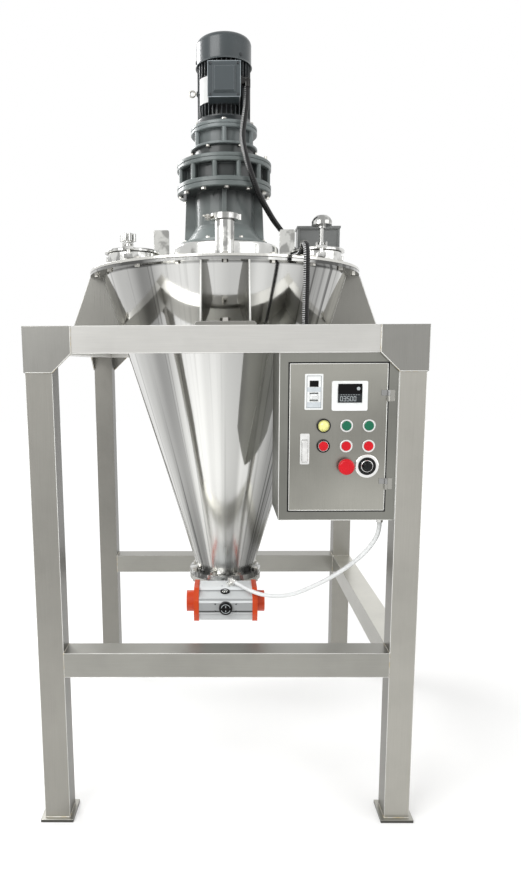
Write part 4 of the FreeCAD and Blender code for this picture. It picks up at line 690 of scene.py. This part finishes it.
weld = {
    "radius": 0.0024, "pitch": 0.0045, "ripple": 0.18, "step": 0.0015,
    "capFace": 0.5955, "capOutline": [(0.5945, 1.458), (0.515, 1.458), (0.457, 1.514), (0.457, 1.5935)],
    "footLevel": 0.0105, "footOutline": [(0.5155, 0.5155), (0.5945, 0.5155), (0.5945, 0.5945), (0.5155, 0.5945)],
    "railEnd": 0.515, "railOutline": [(0.5945, 0.4985), (0.5945, 0.5775), (0.5155, 0.5775), (0.5155, 0.4985)],
    "lugSide": 0.0785, "lugOutside": -0.560, "lugInside": -0.525, "lugLevel": 1.6065,
    "lidLevel": 1.8145, "lidCircles": [(-0.325, -0.150, 0.0845), (0.325, -0.150, 0.0845), (0, -0.290, 0.0322),
                                       (0, 0, 0.2015)],
}


def weldRun(corners, closed=False):
    # The bead's radius is r(1 - ripple + ripple cos(2 pi s / pitch)) along its run s.
    corners = np.asarray(corners, float)
    if closed:
        corners = np.concatenate([corners, corners[:1]])
    path, stations = evenPath(corners, weld["step"])
    if closed:
        path, stations = path[:-1], stations[:-1]
    ripple = 1 - weld["ripple"] + weld["ripple"] * np.cos(stations / weld["pitch"] * 2 * math.pi)
    return sweep(path, weld["radius"] * ripple, 6, closed)


def circle(x, y, z, radius, count=120):
    turn = np.linspace(0, 2 * math.pi, count, endpoint=False)
    return np.stack([x + radius * np.cos(turn), y + radius * np.sin(turn), np.full(count, z)], 1)


def fourTurns(lines):
    # The same lines at the front, right, rear and left of the machine.
    turned = []
    for turn in range(4):
        c, s = round(math.cos(turn * math.pi / 2)), round(math.sin(turn * math.pi / 2))
        turned += [[(c * u - s * v, s * u + c * v, z) for u, v, z in line] for line in lines]
    return turned


def weldRuns(values):
    # Beads of the frame's caps, feet and rails, of the lugs, and round the fittings on the lid.
    runs = []
    face, end = values["capFace"], values["railEnd"]
    for sx in (-1, 1):
        for sy in (-1, 1):
            runs.append(weldRun([(sx * u, sy * face, z) for u, z in values["capOutline"]]))
            runs.append(weldRun([(sx * face, sy * u, z) for u, z in values["capOutline"]]))
            runs.append(weldRun([(sx * u, sy * v, values["footLevel"]) for u, v in values["footOutline"]], True))
            runs.append(weldRun([(sx * end, sy * v, z) for v, z in values["railOutline"]], True))
            if sx > 0:
                runs.append(weldRun([(sx * v, sy * end, z) for v, z in values["railOutline"]], True))
    lugs = [[(x, y, values["lugLevel"]) for y in (values["lugOutside"], values["lugInside"])]
            for x in (-values["lugSide"], values["lugSide"])]
    runs += [weldRun(line) for line in fourTurns(lugs)]
    runs += [weldRun(circle(x, y, values["lidLevel"], radius), True) for x, y, radius in values["lidCircles"]]
    return runs


joined("weldBeads", weldRuns(weld), "root", "weld")


def disc(centre, along, radius, depth, rows, around=32):
    # A round part turned about an axis: rows are (radius share, depth share) from its foot to its middle.
    along = np.asarray(along, float) / np.linalg.norm(along)
    side = np.cross(along, (0.21, 0.17, 0.96))
    side /= np.linalg.norm(side)
    other = np.cross(along, side)
    turn = np.linspace(0, 2 * math.pi, around, endpoint=False)
    ring = side * np.cos(turn)[:, None] + other * np.sin(turn)[:, None]
    points = np.concatenate([np.asarray(centre) + along * depth * d + ring * radius * r for r, d in rows])
    faces = gridFaces(len(rows), around, False, True).tolist()
    faces.append(list(range((len(rows) - 1) * around, len(rows) * around)))
    return points, faces


screwRows = [(1.0, 0.0), (1.0, 0.7), (0.9, 1.0), (0.5, 1.0), (0.46, 0.45), (0.02, 0.45)]


def frontScrews(values):
    # Screws that face the front, at every x of columns and z of levels.
    return [disc((x, values["face"], z), (0, -1, 0), values["radius"], values["height"], screwRows, values["around"])
            for x in values["columns"] for z in values["levels"]]


terminalScrews = {"radius": 0.0045, "height": 0.0028, "face": -0.1538, "columns": (-0.047, 0.047),
                  "levels": (2.387, 2.485), "around": 20}
joined("terminalScrews", frontScrews(terminalScrews), "root", "darkSteel")

fanScrews = {"radius": 0.0055, "height": 0.003, "angles": (36.9, -83.1, 156.9), "level": 2.543, "ring": 0.0978}


def fanScrewParts(values):
    parts = []
    for angle in values["angles"]:
        out = np.array([math.sin(math.radians(angle)), -math.cos(math.radians(angle)), 0.0])
        place = out * values["ring"] + (0, 0, values["level"])
        parts.append(disc(place, out, values["radius"], values["height"], screwRows, 20))
    return parts


joined("fanCoverScrews", fanScrewParts(fanScrews), "root", "darkSteel")

motorPlate = {"inside": 0.0952, "outside": 0.0968, "angles": (-61.0, -29.0), "levels": (2.389, 2.475)}


def curvedPlate(values, columns=24):
    # A blank plate bent round the motor: two arcs of the same angles at its inside and outside radius.
    turn = np.radians(np.linspace(*values["angles"], columns))
    loops = []
    inside, outside = values["inside"], values["outside"]
    for radius, level in [(inside, 0), (outside, 0), (outside, 1), (inside, 1)]:
        loops.append(np.stack([radius * np.sin(turn), -radius * np.cos(turn),
                               np.full(columns, values["levels"][level])], 1))
    faces = gridFaces(4, columns, True, False).tolist()
    faces += [[k * columns for k in range(4)], [k * columns + columns - 1 for k in range(4)][::-1]]
    return np.concatenate(loops), faces


joined("motorPlate", [curvedPlate(motorPlate)], "root", "paper", False)


def slabParts(x0, x1, y0, y1, z0, z1):
    # A box from corner to corner.
    points = [(x, y, z) for x in (x0, x1) for y in (y0, y1) for z in (z0, z1)]
    return points, [[0, 1, 3, 2], [4, 6, 7, 5], [0, 4, 5, 1], [2, 3, 7, 6], [0, 2, 6, 4], [1, 5, 7, 3]]


# The timer's display and digits, the breaker's panel

segments = {"a": (0, 2, 1, 2), "b": (1, 1, 1, 2), "c": (1, 0, 1, 1), "d": (0, 0, 1, 0), "e": (0, 0, 0, 1),
            "f": (0, 1, 0, 2), "g": (0, 1, 1, 1)}
digitShapes = {"0": "abcdef", "3": "abgcd", "5": "afgcd"}
timer = {"left": 0.333, "right": 0.404, "low": 1.366, "middle": 1.392, "high": 1.4215, "back": -0.5996,
         "windowFront": -0.6016, "stripFront": -0.6015}
timerText = {"text": "03500", "left": 0.340, "low": 1.371, "width": 0.0062, "height": 0.013, "front": -0.6021,
             "stroke": 0.0016, "depth": 0.0006}
timerMarks = {"lampPlace": (0.393, -0.6016, 1.4075), "lampRadius": 0.0052, "lampHeight": 0.0008, "dashes": 8,
              "left": 0.340, "pitch": 0.0075, "length": 0.0045, "front": -0.6019, "back": -0.6013, "low": 1.3885,
              "high": 1.3895}
breaker = {"left": 0.241, "right": 0.283, "low": 1.351, "high": 1.445, "front": -0.5984, "back": -0.5979,
           "bands": [(1.3985, 1.4115), (1.351, 1.368)], "window": (0.249, 0.275, -0.5990, -0.5950, 1.413, 1.431),
           "lineFront": -0.5986, "stroke": 0.0011, "depth": 0.0008}


def barParts(x0, z0, x1, z1, values, front):
    # A bar from one point of the door's plane to another, half a stroke longer at each end.
    half = values["stroke"] / 2
    return slabParts(min(x0, x1) - half, max(x0, x1) + half, front, front + values["depth"],
                     min(z0, z1) - half, max(z0, z1) + half)


def digitParts(values):
    # Each digit is made of bars on a grid of two squares, one above the other.
    parts = []
    for place, letter in enumerate(values["text"]):
        left = values["left"] + place * values["width"] * 1.6
        for bar in digitShapes[letter]:
            u0, v0, u1, v1 = segments[bar]
            parts.append(barParts(left + u0 * values["width"], values["low"] + v0 * values["height"] / 2,
                                  left + u1 * values["width"], values["low"] + v1 * values["height"] / 2,
                                  values, values["front"]))
    return parts


def markParts(values):
    # The round lamp of the display and the row of dashes under it.
    lamp = disc(values["lampPlace"], (0, -1, 0), values["lampRadius"], values["lampHeight"],
                [(1, 0), (1, 1), (0.02, 1)], 20)
    starts = [values["left"] + k * values["pitch"] for k in range(values["dashes"])]
    return [lamp] + [slabParts(x, x + values["length"], values["front"], values["back"], values["low"],
                               values["high"]) for x in starts]


def outlineParts(values):
    corners = [(values[side], values[level]) for side, level in
               [("left", "low"), ("right", "low"), ("right", "high"), ("left", "high")]]
    return [barParts(x0, z0, x1, z1, values, values["lineFront"])
            for (x0, z0), (x1, z1) in zip(corners, corners[1:] + corners[:1])]


joined("timerWindow", [slabParts(timer["left"], timer["right"], timer["windowFront"], timer["back"],
                                 timer["middle"], timer["high"])], "door", "glass", False)
joined("timerStrip", [slabParts(timer["left"], timer["right"], timer["stripFront"], timer["back"],
                                timer["low"], timer["middle"])], "door", "strip", False)
joined("timerDigits", digitParts(timerText) + markParts(timerMarks), "door", "segment", False)
joined("breakerPanel", [slabParts(breaker["left"], breaker["right"], breaker["front"], breaker["back"], low, high)
                        for low, high in breaker["bands"]], "door", "blueGrey", False)
joined("breakerWindow", [slabParts(*breaker["window"])], "door", "glass", False)
joined("breakerLine", outlineParts(breaker), "door", "line", False)

# The selector's dark dial and bright skirt, the dark rings of the lamp and of the left red button

dial = {"place": (0.425, -0.5950, 1.175), "radius": 0.0255, "height": 0.0009,
        "rows": [(1, 0), (1, 1), (0.8, 1), (0.79, 0.7), (0.6, 0.7)]}
skirt = {"place": (0.425, -0.5955, 1.175), "radius": 0.0205, "height": 0.0075,
         "rows": [(1, 0), (0.98, 0.25), (0.86, 0.9), (0.80, 1.0), (0.78, 0.9), (0.77, 0.2)]}
joined("selectorDial", [disc(dial["place"], (0, -1, 0), dial["radius"], dial["height"], dial["rows"], 64)],
       "door", "black")
joined("selectorSkirt", [disc(skirt["place"], (0, -1, 0), skirt["radius"], skirt["height"], skirt["rows"], 64)],
       "door", "bezel")


def ringParts(x, z, inside, outside, front, depth, around=48):
    # A flat ring with a rounded outer edge, on the door.
    rows = [(outside, 0.0), (outside, 0.6), (outside - 0.0008, 1.0), (inside + 0.0005, 1.0), (inside, 0.8),
            (inside, 0.0)]
    turn = np.linspace(0, 2 * math.pi, around, endpoint=False)
    loops = [np.stack([x + r * np.cos(turn), np.full(around, front - depth * d), z + r * np.sin(turn)], 1)
             for r, d in rows]
    return np.concatenate(loops), gridFaces(len(rows), around, False, True).tolist()


# Each ring's x, z, inside and outside radius, foot and height
darkRings = {"lamp": (0.293, 1.297, 0.0172, 0.0212, -0.592, 0.0105),
             "leftRed": (0.293, 1.236, 0.0155, 0.0200, -0.592, 0.0086),
             "selector": (0.425, 1.175, 0.0205, 0.0270, -0.5998, 0.0006)}
joined("darkRings", [ringParts(*ring) for ring in darkRings.values()], "door", "black")

# Pale rods as painted highlights along the edges of the sheet parts and the frame, and the dark seal round the door

edges = {
    "radius": 0.0011,
    "doorBox": (0.1915, 0.4805, 1.0385, 1.4805), "doorFace": -0.5922,
    "caseBox": (0.1605, 0.5145, 1.0075, 1.5135), "caseFace": -0.5902,
    "coverBox": (-0.0554, 0.0554, 2.3796, 2.4924), "coverFace": -0.1536, "coverRadius": 0.0014,
    "capOutline": [(0.5950, 1.4585), (0.5152, 1.4585), (0.4575, 1.5142), (0.4575, 1.5935)], "capFace": 0.5991,
    "railRadius": 0.0009,
    "lugSide": 0.074, "lugFoot": (-0.5605, 1.6075), "lugHead": (-0.4900, 1.7940), "lugRadius": 0.0027,
    "tubeFace": -0.5948, "tubeRadius": 0.0008,
    "railLevels": (1.5145, 1.5935), "railEnd": 0.4565,
    "legSides": (-0.5948, -0.5152, 0.5152, 0.5948), "legLevels": (0.0115, 1.4570),
    "lowerLevels": (0.4985, 0.5775), "lowerEnd": 0.5140,
}


def rodParts(corners, radius, closed=True):
    # A thin rod along each side of an outline.
    ends = corners[1:] + corners[:1] if closed else corners[1:]
    return [sweep([a, tuple((u + v) / 2 for u, v in zip(a, b)), b], radius, 6) for a, b in zip(corners, ends)]


def boxCorners(box, face):
    x0, x1, z0, z1 = box
    return [(x0, face, z0), (x1, face, z0), (x1, face, z1), (x0, face, z1)]


# Pale rods as painted highlights round the door and the case
joined("doorEdge", rodParts(boxCorners(edges["doorBox"], edges["doorFace"]), edges["radius"]), "door", "edge")
joined("caseEdge", rodParts(boxCorners(edges["caseBox"], edges["caseFace"]), edges["radius"]), "root", "edge")


def capRods(values):
    rods = []
    for sx in (-1, 1):
        for sy in (-1, 1):
            line = [(sx * u, sy * values["capFace"], z) for u, z in values["capOutline"]]
            rods += rodParts(line, values["railRadius"], False)
    return rods


def lugRods(values):
    # Along the outer edge of each plate that carries the vessel.
    lines = [[(x, *values["lugFoot"]), (x, *values["lugHead"])] for x in (-values["lugSide"], values["lugSide"])]
    return [rod for line in fourTurns(lines) for rod in rodParts(line, values["lugRadius"], False)]


def tubeRods(values):
    # Along the front edges of the top rail, the legs and the lower rail.
    face, rods = values["tubeFace"], []
    for z in values["railLevels"]:
        rods += rodParts([(-values["railEnd"], face, z), (values["railEnd"], face, z)], values["railRadius"], False)
    for x in values["legSides"]:
        rods += rodParts([(x, face, z) for z in values["legLevels"]], values["tubeRadius"], False)
    for z in values["lowerLevels"]:
        rods += rodParts([(-values["lowerEnd"], face, z), (values["lowerEnd"], face, z)], values["tubeRadius"], False)
    return rods


# Pale rods as painted highlights along the caps, the terminal cover, the lugs and the front edges of the tubes
joined("capEdges", capRods(edges), "root", "edge")
joined("coverEdges", rodParts(boxCorners(edges["coverBox"], edges["coverFace"]), edges["coverRadius"]),
       "root", "coverEdge")
joined("lugEdges", lugRods(edges), "root", "edge")
joined("tubeEdges", tubeRods(edges), "root", "edge")

seal = {"box": (0.191, 0.481, 1.038, 1.481), "width": 0.0046, "face": -0.5900, "depth": 0.0009, "gap": 0.0002}


def sealParts(values):
    # Four strips round the door, with a narrow gap to it.
    x0, x1, z0, z1 = values["box"]
    width, face, depth, gap = (values[key] for key in ("width", "face", "depth", "gap"))
    return [slabParts(x0 - width, x0 - gap, face - depth, face, z0 - width, z1 + width),
            slabParts(x1 + gap, x1 + width, face - depth, face, z0 - width, z1 + width),
            slabParts(x0 - gap, x1 + gap, face - depth, face, z0 - width, z0 - gap),
            slabParts(x0 - gap, x1 + gap, face - depth, face, z1 + gap, z1 + width)]


joined("doorSeal", sealParts(seal), "root", "seal", False)

# The actuator's port, ridges and screws, and the mark of its indicator

port = {"centre": (-0.002, -0.262, 0.6655), "width": 0.034, "length": 0.025, "height": 0.006,
        "across": (1, 0, 0), "up": (0, 0.92, 0.39), "out": (0, -0.39, 0.92),
        "barShifts": (-0.0075, 0.0, 0.0075), "barRise": 0.62, "barLean": (0.003, 0.0075), "barRadius": 0.0016}


def ovalParts(values, around=40):
    # An oval boss with a rounded top edge and a sunk floor, on the sloping shoulder.
    across, up, out = (np.array(values[key]) for key in ("across", "up", "out"))
    turn = np.linspace(0, 2 * math.pi, around, endpoint=False)
    loops = []
    for share, level in [(1.0, 0.0), (1.0, 0.8), (0.93, 1.0), (0.80, 1.0), (0.74, 0.45), (0.02, 0.45)]:
        loops.append(np.array(values["centre"]) + across * (values["width"] / 2 * share * np.cos(turn))[:, None]
                     + up * (values["length"] / 2 * share * np.sin(turn))[:, None] + out * values["height"] * level)
    faces = gridFaces(len(loops), around, False, True).tolist()
    faces.append(list(range(5 * around, 6 * around)))
    return np.concatenate(loops), faces


def portBars(values):
    # Slanted bars over the port's sunk floor.
    across, up, out = (np.array(values[key]) for key in ("across", "up", "out"))
    bars = []
    for shift in values["barShifts"]:
        middle = np.array(values["centre"]) + across * shift + out * values["height"] * values["barRise"]
        lean = across * values["barLean"][0] + up * values["barLean"][1]
        bars.append(sweep([middle - lean, middle, middle + lean], values["barRadius"], 8))
    return bars


joined("actuatorPort", [ovalParts(port)], "root", "black")
joined("portBars", portBars(port), "root", "bezel")

ridges = {"columns": (-0.094, 0.0, 0.094), "face": -0.2982, "radius": 0.0012, "levels": (0.6020, 0.6358)}
joined("actuatorRidges", [sweep([(x, ridges["face"], z) for x in ridges["columns"]], ridges["radius"], 8)
                          for z in ridges["levels"]], "root", "actuator")

indicator = {"ring": (0.0, 0.619, 0.0150, 0.0172, -0.3125, 0.0007),
             "bar": (-0.0016, 0.0016, -0.3131, -0.3124, 0.6080, 0.6300)}
joined("indicatorMark", [ringParts(*indicator["ring"]), slabParts(*indicator["bar"])], "valve", "segment", False)

actuatorScrews = {"radius": 0.0024, "height": 0.0014, "face": -0.2976, "columns": (-0.037, 0.037),
                  "levels": (0.6060, 0.6320), "around": 16}
joined("actuatorScrews", frontScrews(actuatorScrews), "root", "darkSteel")

# The clip that holds the conduit at the rim

clip = {"centre": (0.2455, -0.445, 1.8435), "radius": 0.0122, "width": 0.010, "thick": 0.0012,
        "footHalf": 0.0008, "footLow": 1.8142, "padHalf": 0.012, "padLow": 1.8141, "padHigh": 1.8156}


def clipParts(values, around=28):
    # A band round the conduit, which runs along Y here, with a foot down to the lid.
    x, y, z = values["centre"]
    turn = np.linspace(0, 2 * math.pi, around, endpoint=False)
    loops = []
    for radius, place in [(values["radius"], -0.5), (values["radius"] + values["thick"], -0.5),
                          (values["radius"] + values["thick"], 0.5), (values["radius"], 0.5)]:
        loops.append(np.stack([x + radius * np.cos(turn), np.full(around, y + values["width"] * place),
                               z + radius * np.sin(turn)], 1))
    band = np.concatenate(loops), gridFaces(4, around, True, True).tolist()
    front, back = y - values["width"] / 2, y + values["width"] / 2
    foot = slabParts(x - values["footHalf"], x + values["footHalf"], front, back, values["footLow"],
                     z - values["radius"])
    pad = slabParts(x - values["padHalf"], x + values["padHalf"], front, back, values["padLow"], values["padHigh"])
    return [band, foot, pad]


joined("conduitClip", clipParts(clip), "root", "hardware", False)
print("pieces made")


# Studio

studio = {
    "floorSize": 30.0,
    "floorColour": colour(250, 250, 249),
    "worldLight": 0.72,
    "aim": (0, 0, 1.3),
    "keyPlace": (-2.6, -3.4, 3.9),
    "keySize": 3.0,
    "keyPower": 150.0,
    "fillPlace": (3.2, -2.4, 2.4),
    "fillSize": 3.0,
    "fillPower": 40.0,
    "floorWhite": 0.3,
    "floorGlow": 1.12,
    "floorNear": 1.0,
    "floorFar": 3.4,
    "rimPlace": (-2.4, 1.9, 3.3),
    "rimSize": 1.6,
    "rimPower": 90.0,
    "rimAim": (0, 0, 2.3),
}


def makeLamp(name, place, size, power, aim):
    data = bpy.data.lights.new(name, "AREA")
    data.size = size
    data.energy = power
    lamp = bpy.data.objects.new(name, data)
    lamp.location = place
    lamp.rotation_mode = "QUATERNION"
    lamp.rotation_quaternion = (Vector(place) - Vector(aim)).to_track_quat("Z", "Y")
    bpy.context.scene.collection.objects.link(lamp)


def makeFloor(values):
    # White where the camera or a mirror sees it, more so with the distance from the machine, so that the
    # machine's shadow stays on it near by.
    half = values["floorSize"] / 2
    corners = np.array([(-half, -half, 0), (half, -half, 0), (half, half, 0), (-half, half, 0)])
    floor = addMesh("floor", corners, [[0, 1, 2, 3]], False)
    finish = Finish("floorPaper", values["floorColour"], 0.9)
    ray = finish.add("LightPath")
    glow = finish.span(ray[0], 0.0, 1.0, 1.0, values["floorGlow"])
    white = finish.add("Emission", None, {"Color": (1, 1, 1, 1), "Strength": glow})[0]
    direct = finish.shader.outputs[0]
    x, y, z = finish.split()
    reach = (x * x + y * y).call("SQRT")
    share = finish.span(reach, values["floorNear"], values["floorFar"], values["floorWhite"], 1.0)
    seen = (ray[0] + ray[3]).call("MINIMUM", 1.0) * share
    mixed = finish.add("MixShader", None, {0: seen, 1: Value(finish, direct), 2: white})[0]
    finish.tree.links.new(mixed.output, finish.tree.nodes["Material Output"].inputs["Surface"])
    floor.data.materials.append(finish.material)


def makeWorld(values):
    # Plain white where it is seen or mirrored, a softer level where it lights the object.
    world = bpy.data.worlds.new("studio")
    world.use_nodes = True
    bpy.context.scene.world = world
    tree = world.node_tree
    background = tree.nodes["Background"]
    ray = tree.nodes.new("ShaderNodeLightPath")
    seen = tree.nodes.new("ShaderNodeMath")
    seen.operation = "MAXIMUM"
    tree.links.new(ray.outputs["Is Camera Ray"], seen.inputs[0])
    tree.links.new(ray.outputs["Is Glossy Ray"], seen.inputs[1])
    both = tree.nodes.new("ShaderNodeMath")
    both.operation = "MAXIMUM"
    tree.links.new(seen.outputs[0], both.inputs[0])
    tree.links.new(ray.outputs["Is Transmission Ray"], both.inputs[1])
    strength = tree.nodes.new("ShaderNodeMapRange")
    strength.inputs["To Min"].default_value = values["worldLight"]
    strength.inputs["To Max"].default_value = 1.0
    tree.links.new(both.outputs[0], strength.inputs["Value"])
    tree.links.new(strength.outputs[0], background.inputs["Strength"])
    background.inputs["Color"].default_value = (1, 1, 1, 1)


makeFloor(studio)
makeWorld(studio)
makeLamp("keyLamp", studio["keyPlace"], studio["keySize"], studio["keyPower"], studio["aim"])
makeLamp("fillLamp", studio["fillPlace"], studio["fillSize"], studio["fillPower"], studio["aim"])
makeLamp("rimLamp", studio["rimPlace"], studio["rimSize"], studio["rimPower"], studio["rimAim"])
bpy.context.scene.view_settings.view_transform = "Standard"
print("studio made")
